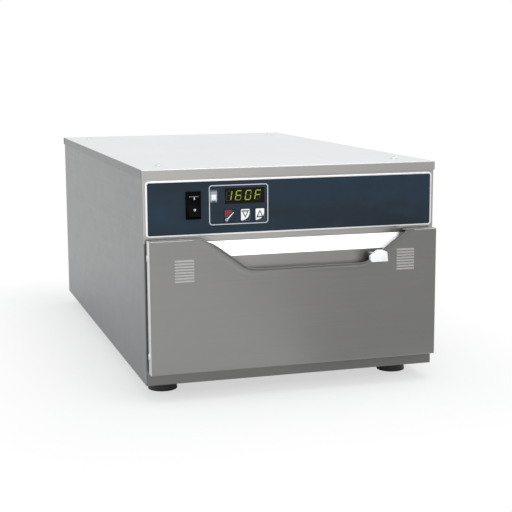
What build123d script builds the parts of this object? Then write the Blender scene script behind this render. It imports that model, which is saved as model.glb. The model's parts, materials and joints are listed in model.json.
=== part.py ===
from build123d import *
import math
import os

# Countertop warming drawer, millimetres. +Z up, the drawer opens towards -Y.
# Origin: middle of the footprint, on the surface that the feet stand on.
# Heights named *_h are measured from the underside of the base pan,
# depths named *_d from the front edge of the top cover (negative is in front of it).

# ---- cabinet ----
cover_width = 416.0
cover_depth = 716.0
body_height = 289.0        # underside of the base pan to the top of the cover
cover_flange = 12.2
sheet = 1.2
slip = 0.3                 # gap between folded sheets that slip over each other
corner_relief = 3.0
rear_relief = 14.0
foot_height = 21.0
foot_diameter = 41.0
foot_top_diameter = 37.0
foot_side_inset = 36.5
foot_end_inset = 62.0
foot_edge = 1.5
apron_height = 14.6
side_flange = 22.0
top_flange = 48.0
rear_flange = 16.0
fascia_height = 97.2
fascia_return = 12.0

# ---- fasteners ----
hole_clearance = 0.4       # on the diameter
bolt_diameter = 6.0
bolt_head = 12.0
bolt_head_thick = 5.0
bolt_past_nut = 2.0
nut_radius = 5.8
nut_thick = 5.0
cover_screw_inset = 36.0
cover_head = 11.5
cover_head_thick = 2.0
cover_shank_length = 6.0
back_head = 11.0
back_head_thick = 2.6
back_shank_length = 8.0
back_screw_shares = (0.15, 0.5, 0.85)
small_shank = 4.0
small_head = 8.0
small_head_thick = 2.4
rail_screw_shares = (0.1, 0.5, 0.9)

# ---- control panel ----
panel_side_margin = 6.8
panel_bottom_margin = 10.0
panel_top_margin = 17.4
trim_width = 2.4
trim_proud = 1.6
trim_corner = 5.0
trim_edge = 0.8
overlay_thick = 1.2
controller_from_left = 124.2
controller_from_bottom = 37.7
controller_width = 82.0
controller_height = 53.2
controller_corner = 4.0
controller_line = 1.2
controller_proud = 0.6
housing_margin = 3.5
housing_depth = 60.0
housing_wall = 2.0
display_right = 8.4        # from the middle of the controller
display_up = 11.5
display_width = 54.7
display_height = 20.5
display_proud = 0.4
indicator_left = 34.5
indicator_up = 11.9
indicator_width = 9.0
indicator_height = 17.0
indicator_depth = 12.0
indicator_step = 1.0
key_right = {"key_set": -13.3, "key_down": 9.0, "key_up": 29.4}
key_down_by = 14.4
key_width = 13.4
key_height = 16.4
key_corner = 2.0
key_edge = 0.4
key_proud = 1.0
key_travel = 0.7
key_gap = 0.25
key_body = 2.4
rocker_from_left = 61.7
rocker_from_bottom = 38.5
rocker_width = 20.6
rocker_height = 37.1
rocker_bezel = 1.8
rocker_wall = 1.5
rocker_lining = 1.2
rocker_depth = 24.0
rocker_recess = 15.0
rocker_rim = 1.6
rocker_corner = 1.5
rocker_edge = 0.6
paddle_gap = 0.25
paddle_end_gap = 1.1
paddle_tilt = 9.0
paddle_front = 4.0         # ahead of the pin at the paddle's waist
paddle_back = 5.0
pivot_behind_bezel = 5.0
pin_diameter = 2.4
pin_end_gap = 0.3
running = 0.05

# ---- cavity and insulation ----
liner_sheet = 1.0
liner_side_margin = 28.0
liner_floor_margin = 11.4
liner_top_margin = 2.2
liner_back_margin = 76.0
liner_flange = 8.0
cable_diameter = 5.0
cable_runs = 8
cable_side_margin = 61.0
cable_end_margin = 60.0
cable_bend_share = 0.42
insulation_gap = 0.2
top_insulation = 20.0
back_insulation = 25.0
back_insulation_lift = 4.0
tray_flange = 10.0
thermostat_disc = 18.0
thermostat_base = 26.0
probe_x = 110.0
probe_up = 124.0
probe_diameter = 5.0
probe_reach = 48.0

# ---- drawer front ----
door_side_margin = 4.0
door_overlap = 5.2         # over the fascia
door_bottom_gap = 3.5      # above the apron
door_reach = 18.0          # front of the door ahead of the cover
door_sheet = 1.0
door_return = 14.5
door_edge = 1.2
scoop_x = 13.0
scoop_half_bottom = 82.8
scoop_half_top = 138.6
scoop_depth = 41.0
scoop_lip_radius = 30.0
scoop_top_radius = 50.0
flare_radius = 11.5
flare_angle = 82.0
louvre_side_margin = 46.9
louvre_drop = 40.7
louvre_width = 26.2
louvre_pitch = 3.85
louvre_count = 8
louvre_slot = 1.1
louvre_hood = 2.4
louvre_proud = 1.3
louvre_sheet = 0.6
louvre_side_gap = 0.8
trough_bend_drop = 25.6
trough_top_drop = 5.7
trough_slope = 68.0        # degrees from level
trough_floor_drop = 33.2   # below the scoop's lip
trough_side_margin = 28.0
trough_hem = 10.0
trough_rear_flange = 15.0
strip_half_width = 132.5
strip_offset = 7.5
side_screw_margins = (24.5, 22.7)
side_screw_head = 10.0
side_screw_head_thick = 1.6
side_screw_length = 9.0
side_screw_share = 0.55
inner_flange_margin = 8.0
door_wool_margin = 12.0
bumper_diameter = 8.0
bumper_margin = 14.0

# ---- vent slide ----
vent_sheet = 1.2
vent_gap = 0.4
vent_bar_lift = 5.0
vent_bar_height = 14.0
shutter_margin = 1.0
shutter_lap = 2.0
tab_width = 6.0
tab_from_knob = 4.3
tab_gap = 0.5              # between the tab and the scoop's edge under it
tab_drop = 8.0             # height of the upright plate in the knob
knob_from_lip = 3.7
knob_lift = 0.6
knob_width = 25.9
knob_height = 16.3
knob_thick = 5.2
knob_wall = 5.0
knob_edge = 1.0
knob_reach = 33.0          # front of the knob ahead of the cover
guide_x = (-100.0, -20.0, 40.0)
guide_half_width = 5.0
guide_hook = 3.0
guide_sheet = 1.0
guide_top = 2.0

# ---- slides, frame and pan ----
rail_start = 14.0
rail_end_margin = 66.0
rail_stop_margin = 30.0
rail_lift = 74.0
rail_sheet = 1.2
rail_outer_height = 45.0
rail_width = 12.7
rail_tip = 0.4
middle_inset = 3.0
inner_reach = 5.5
ball_diameter = 4.4
ball_gap = 0.05
balls_per_row = 8
outer_ball_inset = 7.0
inner_ball_inset = 9.0
cage_sheet = 0.8
cage_margin = 10.0
cage_web_gap = 0.5
frame_sheet = 1.5
frame_drop = 30.0
frame_step = 20.0
frame_tab = 16.0
frame_screw_inset = 8.0
ledge_drop = 9.5
ledge_width = 11.3
cross_height = 40.0
pan_side_gap = 3.3
pan_floor_gap = 10.5
pan_sheet = 1.0
pan_rim = 11.0
pan_rim_corner = 18.0
pan_taper = 9.0
pan_corner = 40.0
pan_bottom_radius = 8.0
pan_gap = 4.8

# ---- component bay ----
tray_gap = 10.0
board_x = -20.0
board_d = 150.0
board_length = 110.0
board_width = 80.0
board_thick = 1.6
board_hole_inset = 5.0
board_hole_diameter = 3.0
standoff_height = 8.0
standoff_diameter = 6.0
# Each as x and y of its near corner on the board, length, width and height.
board_parts = [(15.0, 15.0, 20.0, 17.0, 16.0), (45.0, 18.0, 25.0, 16.0, 12.0),
               (15.0, 58.0, 65.0, 10.0, 10.0)]
capacitor_x = 88.0
capacitor_y = 30.0
capacitor_diameter = 12.0
capacitor_height = 20.0
transformer_side_margin = 78.0
transformer_d = 190.0
core_size = (44.0, 28.0, 40.0)
coil_size = (28.0, 50.0, 24.0)
coil_corner = 6.0
core_foot_length = 68.0
core_foot_thick = 2.0
relay_side_margin = 68.0
relay_d = 190.0
relay_size = (30.0, 36.0, 34.0)
relay_pin_pitch = 8.0
relay_pin = (0.8, 6.0, 8.0)
terminal_from_gland = 30.0
terminal_from_back = 90.0
terminal_size = (40.0, 22.0, 16.0)
terminal_pitch = 12.0
terminal_screw_hole = 6.4
terminal_wire_hole = 4.0
terminal_wire_h = 5.0

# ---- back ----
gland_side_margin = 58.0
gland_drop = 49.0
gland_reach = 14.0
gland_bore = 9.0
gland_thread = 20.0
gland_thread_length = 9.0
gland_flange = 27.0
gland_flange_thick = 4.0
gland_dome_radius = 3.0
gland_nut_thick = 5.0
vent_slot_count = 9
vent_slot_pitch = 14.0
vent_slot_x = -60.0
vent_slot_width = 4.0
vent_slot_height = 32.0

# ---- derived heights above the base pan ----
fascia_bottom_h = body_height - fascia_height
panel_bottom_h = fascia_bottom_h + panel_bottom_margin
panel_top_h = body_height - panel_top_margin
controller_h = panel_bottom_h + controller_from_bottom
display_h = controller_h + display_up
indicator_h = controller_h + indicator_up
key_h = controller_h - key_down_by
rocker_h = panel_bottom_h + rocker_from_bottom
liner_floor_h = apron_height + liner_floor_margin
liner_top_h = fascia_bottom_h + liner_top_margin
probe_h = liner_floor_h + probe_up
door_bottom_h = apron_height + door_bottom_gap
door_top_h = fascia_bottom_h + door_overlap
scoop_lip_h = door_top_h - scoop_depth
louvre_h = door_top_h - louvre_drop
trough_bend_h = door_top_h - trough_bend_drop
trough_top_h = door_top_h - trough_top_drop
trough_floor_h = scoop_lip_h - trough_floor_drop
side_screw_h = (door_bottom_h + side_screw_margins[0], door_top_h - side_screw_margins[1])
vent_bar_h = trough_floor_h + vent_bar_lift
knob_bottom_h = scoop_lip_h + knob_lift
knob_top_h = knob_bottom_h + knob_height
rail_h = liner_floor_h + rail_lift
frame_bottom_h = rail_h - frame_drop
ledge_h = liner_top_h - ledge_drop
pan_depth = ledge_h + pan_sheet - liner_floor_h - pan_floor_gap
frame_screw_h = (frame_bottom_h + frame_step / 2, rail_h + rail_lift / 4, ledge_h - 1.6 * frame_step)
gland_h = body_height - gland_drop

# ---- derived places ----
panel_half_width = cover_width / 2 - panel_side_margin
controller_x = controller_from_left - panel_half_width
display_x = controller_x + display_right
indicator_x = controller_x - indicator_left
rocker_x = rocker_from_left - panel_half_width
cover_front = (knob_reach - cover_depth - (gland_reach - sheet - slip)) / 2
cover_back = cover_front + cover_depth
base_z = foot_height
top_z = base_z + body_height
side_x = cover_width / 2 - sheet - slip
front_y = cover_front + sheet + slip
back_y = cover_back - sheet - slip
inner_x = side_x - sheet
cover_under_z = top_z - sheet
overlay_y = front_y - overlay_thick
door_half_width = cover_width / 2 - door_side_margin
door_front_y = cover_front - door_reach
door_skin_y = door_front_y + door_sheet
door_rear_y = door_front_y + door_return
inner_panel_y = door_rear_y - door_sheet
louvre_x = door_half_width - louvre_side_margin
trough_half_width = door_half_width - trough_side_margin
strip_left = strip_offset - strip_half_width
strip_right = strip_offset + strip_half_width
strip_y = inner_panel_y - door_sheet
trough_run = (trough_top_h - trough_bend_h) / math.tan(math.radians(trough_slope))
trough_back_y = strip_y + trough_run + door_sheet
vent_y = door_skin_y + vent_gap
knob_left = scoop_x + scoop_half_bottom + knob_from_lip
knob_right = knob_left + knob_width
knob_front_y = cover_front - knob_reach
tab_plate_y = knob_front_y + knob_thick - vent_sheet
tab_left = knob_left + tab_from_knob
tab_right = tab_left + tab_width
scoop_rise = scoop_depth / (scoop_half_top - scoop_half_bottom)
tab_bottom_h = scoop_lip_h + (tab_right - scoop_x - scoop_half_bottom) * scoop_rise + tab_gap
tab_top_h = tab_bottom_h + vent_sheet
liner_half_width = cover_width / 2 - liner_side_margin
liner_back_y = cover_front + cover_depth - liner_back_margin
cable_pitch = 2 * (liner_half_width - cable_side_margin) / (cable_runs - 1)
tray_z = base_z + liner_top_h + liner_sheet + top_insulation
rail_x = liner_half_width - rail_width
rail_y = cover_front + rail_start
rail_z = base_z + rail_h
rail_length = liner_back_y - rail_end_margin - rail_y
drawer_travel = rail_length - rail_stop_margin
frame_x = rail_x - frame_sheet
cross_y = trough_back_y + frame_sheet
pan_y = cross_y + pan_gap
pan_width = 2 * (frame_x - pan_side_gap)
pan_length = rail_length - rail_stop_margin
pan_top_z = base_z + ledge_h + pan_sheet
frame_back_y = pan_y + pan_length + pan_gap
gland_x = cover_width / 2 - gland_side_margin
transformer_x = transformer_side_margin - cover_width / 2
relay_x = cover_width / 2 - relay_side_margin


def block(x0, x1, y0, y1, z0, z1):
    return Pos((x0 + x1) / 2, (y0 + y1) / 2, (z0 + z1) / 2) * Box(x1 - x0, y1 - y0, z1 - z0)


def rod_x(x0, x1, y, z, radius):
    return Pos((x0 + x1) / 2, y, z) * Rot(0, 90, 0) * Cylinder(radius, x1 - x0)


def rod_y(x, y0, y1, z, radius):
    return Pos(x, (y0 + y1) / 2, z) * Rot(90, 0, 0) * Cylinder(radius, y1 - y0)


def rod_z(x, y, z0, z1, radius):
    return Pos(x, y, (z0 + z1) / 2) * Cylinder(radius, z1 - z0)


def front_plate(x0, x1, y0, y1, z0, z1, radius):
    """Upright plate with rounded corners, seen from the front."""
    outline = RectangleRounded(x1 - x0, z1 - z0, radius)
    place = Plane(origin=((x0 + x1) / 2, y1, (z0 + z1) / 2), x_dir=(1, 0, 0), z_dir=(0, -1, 0))
    return extrude(place * outline, y1 - y0)


def profile_along_x(points, x0, x1):
    """Prism with a (y, z) outline between two x values."""
    face = make_face(Polyline([(x0, y, z) for y, z in points], close=True))
    return extrude(face, x1 - x0, dir=(1, 0, 0))


def mirror_x(solid):
    return mirror(solid, about=Plane.YZ)


def both_sides(solid):
    return [solid, mirror_x(solid)]


def group(solids):
    return Compound(children=solids)


def small_hole():
    return (small_shank + hole_clearance) / 2


def small_screw(x, y, z, axis, shank_length):
    return pan_head(x, y, z, axis, small_head, small_head_thick, small_shank, shank_length)


def foot_places():
    x = cover_width / 2 - foot_side_inset
    ys = (cover_front + foot_end_inset, cover_back - foot_end_inset)
    return [(sx * x, y) for sx in (-1, 1) for y in ys]


def cover_screw_places():
    x = cover_width / 2 - cover_screw_inset
    ys = (cover_front + foot_end_inset, cover_back - foot_end_inset)
    return [(sx * x, y) for sx in (-1, 1) for y in ys]


# ---- cabinet shell ----

def make_top_cover():
    half = cover_width / 2
    body = block(-half, half, cover_front, cover_back, top_z - cover_flange, top_z)
    body = fillet(body.faces().sort_by(Axis.Z)[-1].edges(), sheet * 1.2)
    body -= block(-half + sheet, half - sheet, cover_front + sheet, cover_back - sheet,
                  top_z - cover_flange, cover_under_z)
    for sx in (-1, 1):
        edge = sx * half
        inner = sx * (half - sheet)
        x0, x1 = sorted((edge, inner))
        body -= block(x0, x1, cover_front + sheet, cover_front + sheet + corner_relief,
                      top_z - cover_flange, cover_under_z)
        body -= block(x0, x1, cover_back - rear_relief, cover_back - sheet,
                      top_z - cover_flange, cover_under_z)
    for x, y in cover_screw_places():
        body -= rod_z(x, y, cover_under_z, top_z, (bolt_diameter + hole_clearance) / 2)
    return body


def make_base_pan():
    y1 = back_y - sheet
    floor = block(-inner_x, inner_x, front_y + sheet, y1, base_z, base_z + sheet)
    apron = block(-side_x, side_x, front_y, front_y + sheet, base_z, base_z + apron_height)
    pan = floor + apron
    for sx in (-1, 1):
        x0, x1 = sorted((sx * inner_x, sx * (inner_x - sheet)))
        pan += block(x0, x1, front_y + sheet, y1, base_z, base_z + apron_height)
    for x, y in foot_places():
        pan -= rod_z(x, y, base_z, base_z + sheet, (bolt_diameter + hole_clearance) / 2)
    return pan


def make_side_panel():
    """Right-hand side; the left one is its mirror image."""
    y0 = front_y + sheet
    y1 = back_y - sheet
    z1 = cover_under_z
    panel = block(inner_x, side_x, y0, y1, base_z, z1)
    panel += block(side_x - side_flange, side_x, front_y, y0,
                   base_z + apron_height + slip, base_z + fascia_bottom_h - slip)
    panel += block(side_x - rear_flange, side_x, y1 - sheet, y1, base_z + apron_height, z1)
    panel += block(side_x - top_flange, side_x, y0 + fascia_return, y1, z1 - sheet, z1)
    for x, y in cover_screw_places():
        if x > 0:
            panel -= rod_z(x, y, z1 - sheet, z1, (bolt_diameter + hole_clearance) / 2)
    for x, z in back_screw_places():
        if x > 0:
            panel -= rod_y(x, y1 - sheet, y1, z, (bolt_diameter + hole_clearance) / 2)
    return panel


def make_front_fascia():
    z0 = base_z + fascia_bottom_h
    plate = block(-side_x, side_x, front_y, front_y + sheet, z0, cover_under_z)
    mouth = liner_half_width - slip
    plate += block(-mouth, mouth, front_y, front_y + fascia_return, z0, z0 + sheet)
    plate += block(-inner_x, inner_x, front_y, front_y + fascia_return, cover_under_z - sheet, cover_under_z)
    plate -= controller_cutout(slip)
    plate -= front_block(indicator_x, indicator_h, indicator_width, indicator_height,
                         front_y, front_y + sheet, -indicator_step)
    plate -= front_block(rocker_x, rocker_h, rocker_width, rocker_height,
                         front_y, front_y + sheet, -rocker_wall)
    return plate


def front_block(x, h, width, height, y0, y1, grow):
    """Upright block centred at (x, h), its outline grown by grow on every side."""
    w = width / 2 + grow
    t = height / 2 + grow
    z = base_z + h
    return block(x - w, x + w, y0, y1, z - t, z + t)


def controller_cutout(grow):
    return front_block(controller_x, controller_h, controller_width, controller_height,
                       front_y, front_y + sheet, grow - housing_margin)


def back_screw_places():
    x = side_x - rear_flange / 2
    return [(sx * x, base_z + body_height * share) for sx in (-1, 1) for share in back_screw_shares]


def make_back_panel():
    panel = block(-side_x, side_x, back_y - sheet, back_y, base_z, cover_under_z)
    for x, z in back_screw_places():
        panel -= rod_y(x, back_y - sheet, back_y, z, (bolt_diameter + hole_clearance) / 2)
    slot_z = base_z + gland_h
    for i in range(vent_slot_count):
        x = vent_slot_x + (i - (vent_slot_count - 1) / 2) * vent_slot_pitch
        panel -= block(x - vent_slot_width / 2, x + vent_slot_width / 2, back_y - sheet, back_y,
                       slot_z - vent_slot_height / 2, slot_z + vent_slot_height / 2)
    panel -= rod_y(gland_x, back_y - sheet, back_y, slot_z, gland_thread / 2 + slip / 2)
    return panel


def pan_head(x, y, z, axis, head, head_thick, shank, shank_length):
    """Screw whose head sits on its seat at (x, y, z) and whose shank runs against axis."""
    screw = Cylinder(head / 2, head_thick, align=(Align.CENTER, Align.CENTER, Align.MIN))
    screw = fillet(screw.faces().sort_by(Axis.Z)[-1].edges(), head_thick * 0.45)
    screw += Cylinder(shank / 2, shank_length, align=(Align.CENTER, Align.CENTER, Align.MAX))
    return Plane(origin=(x, y, z), z_dir=axis) * screw


def make_cover_screws():
    screws = []
    for x, y in cover_screw_places():
        screws.append(pan_head(x, y, top_z, (0, 0, 1), cover_head, cover_head_thick, bolt_diameter,
                                cover_shank_length))
    return group(screws)


def make_back_screws():
    screws = []
    for x, z in back_screw_places():
        screws.append(pan_head(x, back_y, z, (0, 1, 0), back_head, back_head_thick, bolt_diameter,
                                back_shank_length))
    return group(screws)


def make_rubber_feet():
    feet = []
    for x, y in foot_places():
        foot = Pos(x, y, base_z) * Rot(180, 0, 0) * Cone(
            foot_top_diameter / 2, foot_diameter / 2, foot_height,
            align=(Align.CENTER, Align.CENTER, Align.MIN))
        foot = fillet(foot.faces().sort_by(Axis.Z)[0].edges(), foot_edge)
        foot -= rod_z(x, y, 0.0, base_z, (bolt_diameter + hole_clearance) / 2)
        foot -= rod_z(x, y, 0.0, foot_height / 2, bolt_head / 2 + 1.0)
        feet.append(foot)
    return group(feet)


def make_foot_bolts():
    bolts = []
    seat = foot_height / 2
    nut_z = base_z + sheet
    for x, y in foot_places():
        bolt = rod_z(x, y, seat - bolt_head_thick, seat, bolt_head / 2)
        bolt += rod_z(x, y, seat, nut_z + nut_thick + bolt_past_nut, bolt_diameter / 2)
        nut = extrude(Pos(x, y, nut_z) * RegularPolygon(nut_radius, 6), nut_thick)
        nut -= rod_z(x, y, nut_z, nut_z + nut_thick, bolt_diameter / 2 + running)
        bolts.extend([bolt, nut])
    return group(bolts)


# ---- control panel ----

def key_places():
    return [controller_x + offset for offset in key_right.values()]


def make_panel_trim():
    outer = panel_half_width + trim_width
    z0 = base_z + panel_bottom_h
    z1 = base_z + panel_top_h
    ring = front_plate(-outer, outer, front_y - trim_proud, front_y, z0 - trim_width, z1 + trim_width,
                       trim_corner)
    ring = fillet(ring.faces().sort_by(Axis.Y)[0].edges(), trim_edge)
    ring -= front_plate(-panel_half_width, panel_half_width, front_y - trim_proud, front_y,
                        z0, z1, trim_corner - trim_width)
    return ring


def make_control_overlay():
    z0 = base_z + panel_bottom_h
    z1 = base_z + panel_top_h
    plate = front_plate(-panel_half_width, panel_half_width, overlay_y, front_y, z0, z1,
                        trim_corner - trim_width)
    plate -= front_block(display_x, display_h, display_width, display_height, overlay_y, front_y, 0.0)
    plate -= front_block(indicator_x, indicator_h, indicator_width, indicator_height,
                         overlay_y, front_y, 0.0)
    plate -= front_block(rocker_x, rocker_h, rocker_width, rocker_height, overlay_y, front_y, -rocker_wall)
    for x in key_places():
        plate -= front_block(x, key_h, key_width, key_height, overlay_y, front_y, key_gap)
    return plate


def make_controller_frame():
    w = controller_width / 2
    t = controller_height / 2
    z = base_z + controller_h
    y0 = overlay_y - controller_proud
    line = controller_line
    ring = front_plate(controller_x - w, controller_x + w, y0, overlay_y, z - t, z + t,
                       controller_corner)
    ring -= front_plate(controller_x - w + line, controller_x + w - line, y0, overlay_y,
                        z - t + line, z + t - line, controller_corner - line)
    return ring


def make_controller_housing():
    body = front_block(controller_x, controller_h, controller_width, controller_height,
                       front_y, front_y + housing_depth, -housing_margin)
    hollow_y = front_y + key_body + housing_wall
    body -= front_block(controller_x, controller_h, controller_width, controller_height,
                        hollow_y, front_y + housing_depth - housing_wall, -housing_margin - housing_wall)
    body -= front_block(indicator_x, indicator_h, indicator_width, indicator_height,
                        front_y, front_y + indicator_depth + slip, slip - indicator_step)
    for x in key_places():
        body -= front_block(x, key_h, key_width, key_height, front_y, front_y + key_body, key_gap)
    return body


def make_display_window():
    plate = front_block(display_x, display_h, display_width, display_height,
                        overlay_y - display_proud, front_y, 0.0)
    return fillet(plate.edges().filter_by(Axis.Y), trim_edge)


def make_indicator_lens():
    lens = front_block(indicator_x, indicator_h, indicator_width, indicator_height,
                       overlay_y - controller_proud, front_y, 0.0)
    lens = fillet(lens.edges().filter_by(Axis.Y), indicator_step)
    body = front_block(indicator_x, indicator_h, indicator_width, indicator_height,
                       front_y, front_y + indicator_depth, -indicator_step)
    return lens + body


def make_key(x):
    y1 = front_y + key_body - key_travel - slip
    cap = front_block(x, key_h, key_width, key_height, overlay_y - key_proud, y1, 0.0)
    cap = fillet(cap.edges().filter_by(Axis.Y), key_corner)
    return fillet(cap.faces().sort_by(Axis.Y)[0].edges(), key_edge)


def recess_half():
    return rocker_width / 2 - rocker_wall - rocker_lining


def rocker_pivot():
    return overlay_y - rocker_bezel + pivot_behind_bezel, base_z + rocker_h


def make_rocker_housing():
    y0 = overlay_y - rocker_bezel
    bezel = front_block(rocker_x, rocker_h, rocker_width, rocker_height, y0, overlay_y, 0.0)
    bezel = fillet(bezel.edges().filter_by(Axis.Y), rocker_corner)
    bezel = fillet(bezel.faces().sort_by(Axis.Y)[0].edges(), rocker_edge)
    body = bezel + front_block(rocker_x, rocker_h, rocker_width, rocker_height,
                               overlay_y, overlay_y + rocker_depth, -rocker_wall - running)
    y, z = rocker_pivot()
    half = rocker_width / 2
    # The recess leaves a thin wall on each side, and the pin sits in holes in it.
    body -= paddle_recess()
    body -= rod_x(rocker_x - half, rocker_x + half, y, z, pin_diameter / 2 + running)
    return body


def paddle_recess():
    side = recess_half()
    tall = rocker_height / 2 - rocker_rim
    y0 = overlay_y - rocker_bezel
    z = base_z + rocker_h
    return block(rocker_x - side, rocker_x + side, y0, y0 + rocker_recess, z - tall, z + tall)


def make_rocker_pin():
    y, z = rocker_pivot()
    half = rocker_width / 2 - rocker_wall - pin_end_gap
    return rod_x(rocker_x - half, rocker_x + half, y, z, pin_diameter / 2)


def make_rocker_paddle():
    """Shallow V-shaped paddle, resting with its upper half pressed in."""
    y, z = rocker_pivot()
    half = recess_half() - paddle_gap
    reach = rocker_height / 2 - rocker_rim - paddle_end_gap
    rise = reach * math.tan(math.radians(paddle_tilt))
    front = y - paddle_front
    side = y - paddle_front / 2
    back = y + paddle_back
    points = [
        (front, z), (front - rise, z + reach), (side, z + reach), (back, z + reach / 2),
        (back, z - reach / 2), (side, z - reach), (front - rise, z - reach),
    ]
    paddle = profile_along_x(points, rocker_x - half, rocker_x + half)
    paddle -= rod_x(rocker_x - half, rocker_x + half, y, z, pin_diameter / 2 + running)
    return paddle.rotate(Axis((rocker_x, y, z), (1, 0, 0)), -paddle_tilt)


# ---- electrical parts ----

def box_on(x, y, z, size):
    """Block of the given length, width and height, centred at (x, y) and standing on z."""
    length, width, height = size
    return block(x - length / 2, x + length / 2, y - width / 2, y + width / 2, z, z + height)


def make_component_tray():
    y0 = front_y + housing_depth + tray_gap
    y1 = back_y - sheet * 2
    tray = block(-inner_x, inner_x, y0, y1, tray_z, tray_z + sheet)
    for sx in (-1, 1):
        x0, x1 = sorted((sx * inner_x, sx * (inner_x - sheet)))
        tray += block(x0, x1, y0, y1, tray_z, tray_z + tray_flange)
    return tray


def board_corners():
    y0 = cover_front + board_d
    inset = board_hole_inset
    xs = (board_x + inset, board_x + board_length - inset)
    ys = (y0 + inset, y0 + board_width - inset)
    return [(x, y) for x in xs for y in ys]


def make_board_standoffs():
    posts = []
    low = tray_z + sheet
    seat = low + standoff_height
    for x, y in board_corners():
        post = rod_z(x, y, low, seat, standoff_diameter / 2)
        post += rod_z(x, y, seat, seat + standoff_height / 2, board_hole_diameter / 2)
        posts.append(post)
    return group(posts)


def make_control_board():
    y0 = cover_front + board_d
    z = tray_z + sheet + standoff_height
    top = z + board_thick
    board = block(board_x, board_x + board_length, y0, y0 + board_width, z, top)
    for x, y in board_corners():
        board -= rod_z(x, y, z, top, board_hole_diameter / 2 + running)
    for dx, dy, length, width, height in board_parts:
        board += block(board_x + dx, board_x + dx + length, y0 + dy, y0 + dy + width, top, top + height)
    capacitor = rod_z(board_x + capacitor_x, y0 + capacitor_y, top, top + capacitor_height,
                      capacitor_diameter / 2)
    return board + capacitor


def make_transformer():
    y = cover_front + transformer_d
    z = tray_z + sheet
    core = box_on(transformer_x, y, z, core_size)
    coil = box_on(transformer_x, y, z + (core_size[2] - coil_size[2]) / 2, coil_size)
    coil = fillet(coil.edges().filter_by(Axis.Z), coil_corner)
    feet = box_on(transformer_x, y, z, (core_foot_length, core_size[1], core_foot_thick))
    return core + coil + feet


def make_power_relay():
    y = cover_front + relay_d
    z = tray_z + sheet
    relay = box_on(relay_x, y, z, relay_size)
    for i in (-1, 0, 1):
        relay += box_on(relay_x + i * relay_pin_pitch, y, z + relay_size[2], relay_pin)
    return relay


def make_terminal_block():
    x = gland_x - terminal_from_gland
    y = back_y - terminal_from_back
    z = tray_z + sheet
    length, width, height = terminal_size
    body = box_on(x, y, z, terminal_size)
    for i in (-1, 0, 1):
        cx = x + i * terminal_pitch
        body -= rod_z(cx, y, z + height / 2, z + height, terminal_screw_hole / 2)
        body -= rod_y(cx, y - width / 2, y + width / 2, z + terminal_wire_h, terminal_wire_hole / 2)
    return body


def make_thermostat():
    """Disc thermostat against the back of the cavity, with its two tabs."""
    y = liner_back_y + liner_sheet
    y_disc = y + thermostat_disc * 0.8
    disc = rod_y(0.0, y, y_disc, rail_z, thermostat_disc / 2)
    disc += rod_y(0.0, y, y + thermostat_disc / 6, rail_z, thermostat_base / 2)
    tab = (thermostat_disc / 3, thermostat_disc / 2, relay_pin[0])
    for sx in (-1, 1):
        disc += box_on(sx * thermostat_disc / 4, y_disc + tab[1] / 2, rail_z - tab[2] / 2, tab)
    return disc


def make_probe():
    z = base_z + probe_h
    y_out = liner_back_y + liner_sheet + back_insulation * 0.7
    rod = rod_y(probe_x, liner_back_y - probe_reach, y_out, z, probe_diameter / 2)
    collar = rod_y(probe_x, liner_back_y - probe_diameter / 2, liner_back_y, z, probe_diameter * 1.4)
    return rod + collar


def make_cord_gland():
    """Gland body with its outer dome, thread and the bore that a cord passes through."""
    z = base_z + gland_h
    flange = rod_y(gland_x, back_y, back_y + gland_flange_thick, z, gland_flange / 2)
    dome = rod_y(gland_x, back_y, back_y + gland_reach, z, gland_thread / 2)
    dome = fillet(dome.faces().sort_by(Axis.Y)[-1].edges(), gland_dome_radius)
    y0 = back_y - sheet - gland_thread_length
    thread = rod_y(gland_x, y0, back_y, z, gland_thread / 2)
    body = flange + dome + thread
    body -= rod_y(gland_x, y0, back_y + gland_reach, z, gland_bore / 2)
    return body


def make_gland_nut():
    z = base_z + gland_h
    outline = RegularPolygon(gland_flange / 2, 6)
    place = Plane(origin=(gland_x, back_y - sheet, z), x_dir=(1, 0, 0), z_dir=(0, -1, 0))
    nut = extrude(place * outline, gland_nut_thick)
    y1 = back_y - sheet
    return nut - rod_y(gland_x, y1 - gland_nut_thick, y1, z, gland_thread / 2 + running)


# ---- cavity ----

def make_cavity_liner():
    x = liner_half_width
    z0 = base_z + liner_floor_h
    z1 = base_z + liner_top_h
    t = liner_sheet
    y0 = front_y + sheet
    shell = block(-x - t, x + t, y0, liner_back_y + t, z0 - t, z1 + t)
    shell += block(-x - liner_flange, x + liner_flange, y0, y0 + t, z0 - liner_flange, z1 + t)
    shell -= block(-x, x, y0, liner_back_y, z0, z1)
    for y in rail_screw_places():
        for sx in (-1, 1):
            x0, x1 = sorted((sx * x, sx * (x + t)))
            shell -= rod_x(x0, x1, y, rail_z, small_hole())
    shell -= rod_y(probe_x, liner_back_y, liner_back_y + t, base_z + probe_h, probe_diameter / 2 + running)
    return shell


def rail_screw_places():
    return [rail_y + rail_length * share for share in rail_screw_shares]


def make_heating_cable():
    """Serpentine under the cavity floor, its two ends leaving at the rear."""
    z = base_z + liner_floor_h - liner_sheet - cable_diameter / 2 - running
    y_near = cover_front + cable_end_margin
    y_far = liner_back_y - cable_end_margin
    y_end = liner_back_y + liner_sheet + cable_diameter
    x = -cable_pitch * (cable_runs - 1) / 2
    points = [(x, y_end, z)]
    for i in range(cable_runs):
        start, stop = (y_far, y_near) if i % 2 == 0 else (y_near, y_far)
        if i > 0:
            points.append((x, start, z))
        if i < cable_runs - 1:
            points.append((x, stop, z))
            x += cable_pitch
    points.append((x, y_end, z))
    path = FilletPolyline(points, radius=cable_pitch * cable_bend_share)
    section = Plane(origin=points[0], z_dir=(0, -1, 0)) * Circle(cable_diameter / 2)
    return sweep(section, path=path)


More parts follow.
